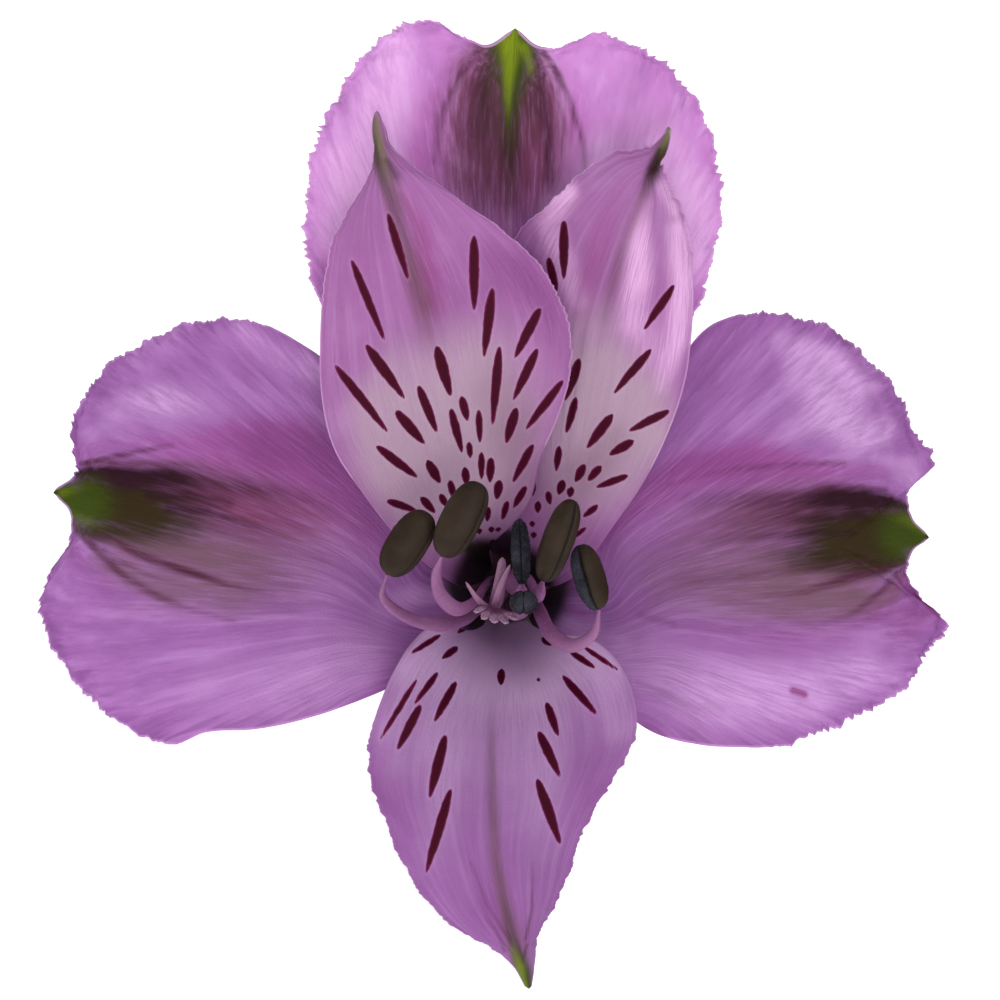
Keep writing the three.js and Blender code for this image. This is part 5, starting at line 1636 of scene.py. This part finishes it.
    def build(self, skins: list[Material]) -> Thing:
        """Builds the blade as a closed shell and puts it in the part.

        Args:
            skins: the finishes of its upper and its lower face.

        Returns:
            The piece.
        """
        points, places = self.middle()
        marks = self.marks(points, places)
        marks["fan"] = self.fan(points, places)
        normal = places["normal"]
        points = points + normal * self.wave(places, marks["fan"])[..., None]
        above, below = self.faces_off(places)
        upper, lower = points + normal * above[..., None], points - normal * below[..., None]
        shell = np.concatenate([upper.reshape(-1, 3), lower.reshape(-1, 3)])
        faces, kinds = self.shell_faces(*above.shape)
        both = {
            key: np.concatenate([values.reshape(-1, *values.shape[2:])] * 2)
            for key, values in marks.items()
        }
        piece = new_mesh(f"{self.name}_blade", shell, faces, both)
        for skin in skins:
            piece.data.materials.append(skin)
        piece.data.polygons.foreach_set("material_index", kinds)
        place(piece, (self.name,), self.whorl.value)
        return piece

    @staticmethod
    def shell_faces(rows: int, columns: int) -> tuple[list, list[int]]:
        """Numbers the faces of a shell of two like grids, with a rim between them.

        Args:
            rows: points along a grid.
            columns: points across it.

        Returns:
            The faces, and for each face 0 for the upper finish or 1 for the lower.
        """
        back = rows * columns
        index = np.arange(back).reshape(rows, columns)
        a, b = index[:-1, :-1].ravel(), index[:-1, 1:].ravel()
        d, c = index[1:, :-1].ravel(), index[1:, 1:].ravel()
        upper = np.stack([a, b, c, d], 1)
        lower = np.stack([a, d, c, b], 1) + back
        loop = np.concatenate([index[0, :], index[1:, -1], index[-1, -2::-1], index[-2::-1, 0]])
        one, two = loop[:-1], loop[1:]
        rim = np.stack([one, one + back, two + back, two], 1)
        faces = np.concatenate([upper, lower, rim]).tolist()
        return faces, [0] * len(upper) + [1] * len(lower) + [0] * len(rim)


# What the inner tepals share: a grid finer across, and low ruffles and furrows.
INNER_BLADE = {
    "fan_from": (0, 0), "per_row": 20, "columns": 120, "ruffle": 0.12, "crinkle": 0.03,
}
# The colours of each kind of tepal: ground, light, cool, pale, painted light, magenta and rim. The
# top tepal's set is the side tepals' lilac made lighter all over: painted light.
LILAC = ("#9F68A9", "#BA8AC4", "#865290", "#C9A0D0", "#CEA0D6", "#944A8E", "#C496CC")
LIT_LILAC = ("#CF8AD2", "#E4B2EA", "#B578BC", "#E3AEE5", "#EAB6EC", "#C465BE", "#DDA8DF")
FLECKED = ("#9E649E", "#BA8EC0", "#885688", "#AE91A7", "#DCAAD8", "#944A86", "#DDB0DE")
DEEP_FLECKED = ("#94609C", "#AC86B6", "#7F5188", "#BE9CC4", "#BC92C4", "#864C8C", "#B68CBE")
FINE_SKIN = {"rim_width": 0.15, "rim_share": 0.35, "contrast": 0.5}  # of the inner tepals
# The deep claw's colour: near-black painted shade of the throat on the upper face, the claw's own
# green on the lower.
THROAT_SHADE, LOWER_CLAW = "#100408", "#A3A682"
LOWER = {"strength": 0.7}  # of the pigments on a lower face


@dataclass(frozen=True)
class Perianth:
    """The six tepals, in two whorls of three."""

    outer: tuple[Tepal, ...] = (
        Tepal(
            "tepal_outer_top", Whorl.OUTER, TEPAL_OUTER_TOP_ROWS, STROKES_TOP,
            toothed_from=(5, 5), fan_from=(0, 2), seed=11,
        ),
        Tepal(
            "tepal_outer_left", Whorl.OUTER, TEPAL_OUTER_LEFT_ROWS, STROKES_LEFT,
            toothed_from=(8, 7), fan_from=(-1, -1.5), seed=12,
        ),
        Tepal(
            "tepal_outer_right", Whorl.OUTER, TEPAL_OUTER_RIGHT_ROWS, STROKES_RIGHT,
            toothed_from=(7, 7), fan_from=(1, -1.5), seed=13,
        ),
    )
    inner: tuple[Tepal, ...] = (
        Tepal(
            "tepal_inner_left", Whorl.INNER, TEPAL_INNER_LEFT_ROWS, STROKES_INNER_LEFT,
            toothed_from=(8, 6), seed=24, flecks=FLECKS_LEFT, tooth_depth=0.16,
            throat=(6.0, 11.0), **INNER_BLADE,
        ),
        Tepal(
            "tepal_inner_right", Whorl.INNER, TEPAL_INNER_RIGHT_ROWS, STROKES_INNER_RIGHT,
            toothed_from=(8, 8), seed=25, flecks=FLECKS_RIGHT, tooth_depth=0.16,
            throat=(4.0, 9.0), **INNER_BLADE,
        ),
        Tepal(
            "tepal_inner_lower", Whorl.INNER, TEPAL_INNER_LOWER_ROWS, STROKES_INNER_LOWER,
            toothed_from=(6, 6), seed=26, flecks=FLECKS_LOWER, tooth_depth=0.24,
            throat=(2.4, 4.6), **INNER_BLADE,
        ),
    )

    def build(self) -> list[Thing]:
        """Builds all six tepals with their finishes.

        Returns:
            The pieces.
        """
        lilac, lit_paint, flecked, deep = (
            [
                TepalSkin(f"{name}_tepal_epidermis_upper", *colours, THROAT_SHADE, **more).build(),
                TepalSkin(
                    f"{name}_tepal_epidermis_lower", *colours, LOWER_CLAW, **LOWER, **more
                ).build(),
            ]
            for name, colours, more in (
                ("lilac", LILAC, {}),
                ("lit_lilac", LIT_LILAC, {}),
                ("flecked", FLECKED, FINE_SKIN),
                ("deep_flecked", DEEP_FLECKED, FINE_SKIN),
            )
        )
        # the top tepal takes the lilac lightened all over: painted light
        skins = (lit_paint, lilac, lilac, flecked, flecked, deep)
        return [tepal.build(pair) for tepal, pair in zip(self.outer + self.inner, skins)]


# ---- stamens and pistil


def chain(
    name: str,
    lines: list[Array],
    girths: list[Array],
    wide: tuple,
    pales: list | None = None,
) -> Thing:
    """Makes the chains of edges that the sweep follows.

    Args:
        name: the object's name.
        lines: each chain's points, in bloom millimetres.
        girths: each chain's half-widths at its points, in mm.
        wide: the direction, in the bloom's frame, that the section's wide side starts in.
        pales: how strongly each chain takes its skin's third colour at its points, 0 to 1; paler on
            the stigma, darker on a filament, where it is painted shade at the base.

    Returns:
        A mesh of edges with the attributes girth, wide and pale.
    """
    sides, edges, count = [], [], 0
    for line in lines:
        side = np.array(wide, float)
        for along in unit(np.gradient(line, axis=0)):
            side = unit(side - along * (side @ along))
            sides.append(side)
        edges += [(i - 1, i) for i in range(count + 1, count + len(line))]
        count += len(line)
    attributes = {
        "girth": np.concatenate(girths) * MM,
        "wide": LIE.direction(np.array(sides)),
        "pale": np.concatenate(pales or [np.zeros(count)]),
    }
    return new_mesh(name, np.concatenate(lines), [], attributes, edges)


@dataclass(frozen=True)
class Stamens:
    """Six stamens: ribbon-like filaments that carry two-lobed anthers, three of them split open.

    Lengths are in mm. A pair of shares of a filament says where a change starts and ends.
    """

    half_width: float = 0.475
    half_thickness: float = 0.275
    base_width: float = 0.72  # of a filament's base, as a share of its half-width
    belly: float = 0.5  # by how much more of it the middle is wider
    neck: float = 0.5  # by how much of it the neck under the anther is narrower
    neck_share: Pair = (0.86, 1.0)
    # share of a filament over which its painted shade, darker at the base deep in the throat, fades
    # out
    pale_share: Pair = (0.1, 0.55)
    foot: float = 0.4  # how far the base runs down into the ovary's top
    steps: int = 60
    sides: int = 20
    rings: int = 44
    round: int = 96
    blunt: float = 2.4  # power of an anther's outline; 2 would be an ellipse
    lump: float = 0.02  # share of the width that the lumps rise
    lump_size: Pair = (0.3, 1.9)  # a share of the length, and radians round
    groove_depth: float = 0.2
    groove_width: float = 0.15  # in radians of the anther's round
    groove_turn: float = 0.3  # share of the front groove's turn that the back one has
    grain_radius: float = 0.07  # thrice life, so that a grain shows
    grain_density: float = 32.0  # in a square mm

    def build(self, sweep: Tree, grains: Tree) -> list[Thing]:
        """Builds every filament and anther with its finish.

        Args:
            sweep: the tree that sweeps an oval along a chain.
            grains: the tree that strews grains.

        Returns:
            The pieces.
        """
        # The filament's third colour, darker, is painted shade at its base deep in the throat.
        ribbon = StalkSkin("filament_skin_mauve", "#7E4C78", "#96668F", "#66385F").build()
        sac = Granular("anther_skin_umber", "#261910", "#33271B", "#100908", rough=0.5).build()
        shed = Granular(
            "pollen_grains_slate", "#17151B", "#3C3C48", "#0E0D12", grain=0.24, rough=0.85
        ).build()
        made = []
        for k, stamen in enumerate(STAMENS, 1):
            made.append(self.filament(f"filament_{k}", stamen, sweep, ribbon))
            made.append(self.anther(f"anther_{k}", stamen, k, grains, [sac, shed]))
        return made

    def filament(self, name: str, stamen: Stamen, sweep: Tree, finish: Material) -> Thing:
        """Sweeps one filament from the ovary's top to its anther's foot.

        Args:
            name: its CAD node's name.
            stamen: where it runs.
            sweep: the tree that sweeps an oval along a chain.
            finish: its skin.

        Returns:
            The piece.
        """
        points = np.array([*stamen.filament, stamen.foot], float)
        points[0, 2] -= self.foot
        f = np.linspace(0, 1, self.steps + 1)
        line = through(points, f * (len(points) - 1))
        girth = self.half_width * (self.base_width + self.belly * np.sin(math.pi * f))
        girth *= 1 - self.neck * smooth(*self.neck_share, f)
        wide = (-points[0, 1], points[0, 0], 0)
        pale = 1 - smooth(*self.pale_share, f)
        host = chain(f"{name}_ribbon", [line], [girth], wide, [pale])
        flatness = self.half_thickness / self.half_width
        piece = run_tree(host, sweep, {"Sides": self.sides, "Flatness": flatness, "Finish": finish})
        place(piece, (name,), "filament")
        return piece

    def anther(
        self, name: str, stamen: Stamen, seed: int, grains: Tree, finishes: list[Material]
    ) -> Thing:
        """Builds one anther: two pollen sacs with grooves between them, grains where it is open.

        Args:
            name: its CAD node's name.
            stamen: where it stands and how it is turned.
            seed: picks its lumps and grains.
            grains: the tree that strews grains.
            finishes: its skin and its pollen.

        Returns:
            The piece.
        """
        foot, top = np.array(stamen.foot, float), np.array(stamen.top, float)
        axis = top - foot
        along = unit(axis)
        face = unit(np.array([0, 0, 1.0]) - along * along[2])
        side = np.cross(face, along)
        f = 0.5 - 0.5 * np.cos(math.pi * (np.arange(self.rings) + 0.5) / self.rings)
        angle = 2 * math.pi * np.arange(self.round) / self.round
        swell = (1 - np.abs(2 * f - 1) ** self.blunt) ** (1 / self.blunt)
        turn = math.radians(stamen.groove)
        seam = np.zeros_like(angle)
        for centre in (math.pi / 2 + turn, 3 * math.pi / 2 + turn * self.groove_turn):
            gap = np.angle(np.exp(1j * (angle - centre)))
            seam += np.exp(-((gap / self.groove_width) ** 2))
        up = ripple(f, self.lump_size[0], seed)
        about = ripple(angle, self.lump_size[1], seed + 5)
        lumps = 1 + self.lump * up[:, None] * about[None]
        size = swell[:, None] * (1 - self.groove_depth * seam)[None] * lumps
        rings = (
            (foot + axis * f[:, None])[:, None]
            + side * (stamen.width / 2 * size * np.cos(angle))[..., None]
            + face * (stamen.depth / 2 * size * np.sin(angle))[..., None]
        )
        low, high = stamen.split or (0, 0)
        degrees = np.degrees(angle)
        opened = ((degrees >= low) & (degrees < high)) * 1.0
        marks = {
            key: np.concatenate([np.tile(values, self.rings), [values.mean()] * 2])
            for key, values in (("open", opened), ("seam", seam**2))
        }
        faces = ring_faces(self.rings, self.round)
        host = new_mesh(f"{name}_sacs", with_centres(rings), faces, marks)
        for finish in finishes:
            host.data.materials.append(finish)
        shed = [int(np.mean([marks["open"][i] for i in face]) > 0.5) for face in faces]
        host.data.polygons.foreach_set("material_index", shed)
        if stamen.split:
            values = {
                "Density": self.grain_density / MM**2,
                "Radius": self.grain_radius * MM,
                "Seed": seed,
                "Grain finish": finishes[1],
            }
            host = run_tree(host, grains, values)
        place(host, (name,), "anther")
        return host


@dataclass(frozen=True)
class Pistil:
    """The style, with the three ribbon-like arms of its stigma and the frill at their feet.

    Lengths are in mm.
    """

    radius: float = 0.36
    flatness: float = 0.5
    steps: int = 32
    sides: int = 20
    round_from: float = 0.9  # share of an arm after which its end is rounded
    round_over: float = 0.1
    least_round: float = 0.02
    pale_share: Pair = (0.1, 0.6)
    arm_pale: float = 0.55  # how pale an arm's end is; a lobe of the frill is all pale
    warty: Pair = (0.5, 0.9)  # paleness at which papillae start and are full
    papilla: float = 0.04  # radius, twice life, so that one shows
    papilla_density: float = 45.0  # in a square mm
    papilla_seed: int = 3

    def build(self, sweep: Tree, grains: Tree) -> Thing:
        """Builds the style and its stigma as one piece.

        Args:
            sweep: the tree that sweeps an oval along a chain.
            grains: the tree that strews grains, here papillae.

        Returns:
            The piece.
        """
        pink = StalkSkin("stigma_skin_pink", "#66385A", "#7A4C6C", "#96708E", ridge=0.14).build()
        wart = StalkSkin("stigma_papillae_pale", "#9A7492", "#A884A0", "#B090A8", ridge=0.1).build()
        column = np.array(STYLE_LINE, float)
        f = np.linspace(0, 1, self.steps + 1)
        lines = [through(column, f * (len(column) - 1))]
        girths = [np.full(len(f), self.radius)]
        pales = [np.zeros(len(f))]
        for arm in STIGMA_ARMS + STIGMA_FRILL:
            run = through(np.array(arm, float), f * (len(arm) - 1))
            lines.append(run[:, :3])
            past = (f - self.round_from) / self.round_over
            tip = np.sqrt(np.clip(1 - past**2, self.least_round, 1))
            girths.append(run[:, 3] * np.where(f > self.round_from, tip, 1))
            most = 1.0 if arm in STIGMA_FRILL else self.arm_pale
            pales.append(smooth(*self.pale_share, f) * most)
        host = chain("style_and_stigma", lines, girths, (1, 0, 0), pales)
        values = {"Sides": self.sides, "Flatness": self.flatness, "Finish": pink}
        host = run_tree(host, sweep, values)
        pale = np.zeros(len(host.data.vertices), np.float32)
        host.data.attributes["pale"].data.foreach_get("value", pale)
        layer = host.data.attributes.new("open", "FLOAT", "POINT")
        layer.data.foreach_set("value", smooth(*self.warty, pale).astype(np.float32))
        values = {
            "Density": self.papilla_density / MM**2,
            "Radius": self.papilla * MM,
            "Seed": self.papilla_seed,
            "Grain finish": wart,
        }
        host = run_tree(host, grains, values)
        place(host, ("style",), "style")
        return host


# ---- ovary and stalk


@dataclass(frozen=True)
class Ovary:
    """The ovary below the tepals, top-shaped, with a rib under each tepal.

    Lengths are in mm.
    """

    length: float = 8.0
    waist: float = 3.9
    ribs: int = 6
    rib_depth: float = 0.22
    fine_ribs: int = 5  # to each rib
    fine_depth: float = 0.05
    fine_fade: float = 0.3  # share by which the fine ribs are lower at the waist
    disc: float = 0.03  # share of the length, at the top, that is nectary
    sides: int = 144
    rings: int = 60

    def build(self) -> Thing:
        """Builds the ovary with its finish.

        Returns:
            The piece.
        """
        profile = np.array(OVARY_PROFILE, float)
        f = np.linspace(0, len(profile) - 1, self.rings)
        height, share = through(profile, f).T
        angle = 2 * math.pi * np.arange(self.sides) / self.sides
        rib = np.cos(self.ribs * (angle - math.pi / 2))
        fine = self.fine_depth * np.cos(self.ribs * self.fine_ribs * angle)
        fine = fine * (1 - share[:, None] * self.fine_fade)
        radius = share[:, None] * (self.waist + self.rib_depth * rib + fine)
        rings = np.stack(
            [
                radius * np.cos(angle),
                radius * np.sin(angle),
                np.repeat(self.length * height[:, None], self.sides, 1),
            ],
            -1,
        )
        points, faces = with_centres(rings), ring_faces(self.rings, self.sides)
        piece = new_mesh("ovary_wall", points, faces)
        for name, *colours in (
            ("ovary_skin_green", "#66823C", "#7F9650", "#8A9A5A"),
            ("nectary_skin_maroon", "#2A1018", "#3A1A24", "#4A2430"),
        ):
            piece.data.materials.append(StalkSkin(name, *colours).build())
        top = [int(points[list(face), 2].min() > -self.length * self.disc) for face in faces]
        piece.data.polygons.foreach_set("material_index", top)
        place(piece, ("ovary",), "ovary")
        return piece


@dataclass(frozen=True)
class Pedicel:
    """The bloom's own stalk, from its cut end to the neck of the ovary."""

    radius: float = 1.2  # mm
    flare: float = 0.22  # share by which it is wider at the ovary
    flare_share: Pair = (0.8, 1.0)  # of its length, where it widens
    steps: int = 120
    sides: int = 40

    def build(self, sweep: Tree) -> Thing:
        """Builds the stalk with its skin and the moist face of its cut end.

        Args:
            sweep: the tree that sweeps an oval along a chain.

        Returns:
            The piece.
        """
        skin = StalkSkin("pedicel_skin_green", "#6E8A42", "#84A052", "#94A468").build()
        pith = Granular(
            "cut_pith_pale", "#B9C686", "#D3DAA8", "#9AA86A", grain=0.2, rough=0.45
        ).build()
        points = np.array(PEDICEL_LINE, float)
        f = np.linspace(0, 1, self.steps + 1)
        line = through(points, f * (len(points) - 1))
        girth = self.radius * (1 + self.flare * smooth(*self.flare_share, f))
        host = chain("pedicel_stalk", [line], [girth], (1, 0, 0))
        piece = run_tree(host, sweep, {"Sides": self.sides, "Flatness": 1.0, "Finish": skin})
        piece.data.materials.append(pith)
        cut = LIE.direction(unit(line[0] - line[1]))
        for face in piece.data.polygons:
            if len(face.vertices) > 4 and Vector(cut) @ face.normal > 0.9:
                face.material_index = 1
        place(piece, ("pedicel",), "pedicel")
        return piece


# ---- table, light and camera


@dataclass(frozen=True)
class Studio:
    """A plain pale table, soft light from all round, and the camera that looks into the throat."""

    distance: float = 1500.0  # mm, from the top of the ovary
    view_width: float = 1000 / 14  # mm seen across, at the height of the tepals
    tepal_height: float = 20.0  # mm
    aim: Pair = (-0.571, 6.286)  # mm, in the bloom's frame
    sensor: float = 36.0  # mm
    clip: Pair = (0.05, 50.0)  # m
    board_half: float = 3.0  # m
    surround: float = 0.43  # strength of the white all round
    board_glow: float = 0.7  # light that the board adds, as a lit table does
    lit: Triple = (0, -0.02, 0.03)  # m, where the lamps point

    def build(self) -> None:
        """Sets up the table, the lights and the camera."""
        self.table()
        self.lights()
        self.camera()

    def table(self) -> None:
        """Lays a plain white board under the bloom."""
        mesh = bpy.data.meshes.new("table_board")
        half = self.board_half
        corners = [(-half, -half, 0), (half, -half, 0), (half, half, 0), (-half, half, 0)]
        mesh.from_pydata(corners, [], [(0, 1, 2, 3)])
        board = bpy.data.objects.new("table_board", mesh)
        bpy.context.scene.collection.objects.link(board)
        material, tree = new_material("matt_white_board")
        matt = node(
            tree, "ShaderNodeBsdfPrincipled",
            {
                "Base Color": linear("#FAFAFA"),
                "Roughness": 0.9,
                "Specular IOR Level": 0.2,
                "Emission Color": (1, 1, 1, 1),
                "Emission Strength": self.board_glow,
            },
        )
        node(tree, "ShaderNodeOutputMaterial", links={"Surface": matt})
        mesh.materials.append(material)

    def lights(self) -> None:
        """Lights the bloom from all round, with a soft key low in front."""
        world = bpy.data.worlds.new("white_surround")
        world.use_nodes = True
        white = world.node_tree.nodes["Background"].inputs
        white["Color"].default_value = (1, 1, 1, 1)
        white["Strength"].default_value = self.surround
        bpy.context.scene.world = world
        for name, spot, size, power in (
            ("front_softbox", (0.35, -1.45, 0.4), 0.6, 6.0),
            ("high_softbox", (0.1, -1.0, 1.2), 0.6, 4.5),
            ("top_softbox", (0.0, 0.3, 1.6), 1.2, 3.0),
        ):
            light = bpy.data.lights.new(name, "AREA")
            light.shape, light.size, light.energy = "SQUARE", size, power
            lamp = bpy.data.objects.new(name, light)
            lamp.location = spot
            aim = Vector(self.lit) - Vector(spot)
            lamp.rotation_euler = aim.to_track_quat("-Z", "Y").to_euler()
            bpy.context.scene.collection.objects.link(lamp)

    def camera(self) -> None:
        """Looks down the bloom's axis, so that its face fills the frame."""
        data = bpy.data.cameras.new("camera")
        data.sensor_width = self.sensor
        data.lens = data.sensor_width * (self.distance - self.tepal_height) / self.view_width
        data.clip_start, data.clip_end = self.clip
        camera = bpy.data.objects.new("camera", data)
        spot = LIE.world(np.array([*self.aim, self.distance]))
        camera.matrix_world = Matrix.Translation(Vector(spot)) @ LIE.turn().to_4x4()
        bpy.context.scene.collection.objects.link(camera)
        bpy.context.scene.camera = camera
        bpy.context.scene.view_settings.view_transform = "Standard"


def main() -> None:
    """Builds the bloom, piece by piece, then the table, the lights and the camera."""
    logging.basicConfig(level=logging.INFO, format="%(name)s: %(message)s")
    sweep, grains = sweep_tree(), grain_tree()
    Perianth().build()
    Stamens().build(sweep, grains)
    Pistil().build(sweep, grains)
    Ovary().build()
    Pedicel().build(sweep)
    Studio().build()


if __name__ == "__main__":
    main()
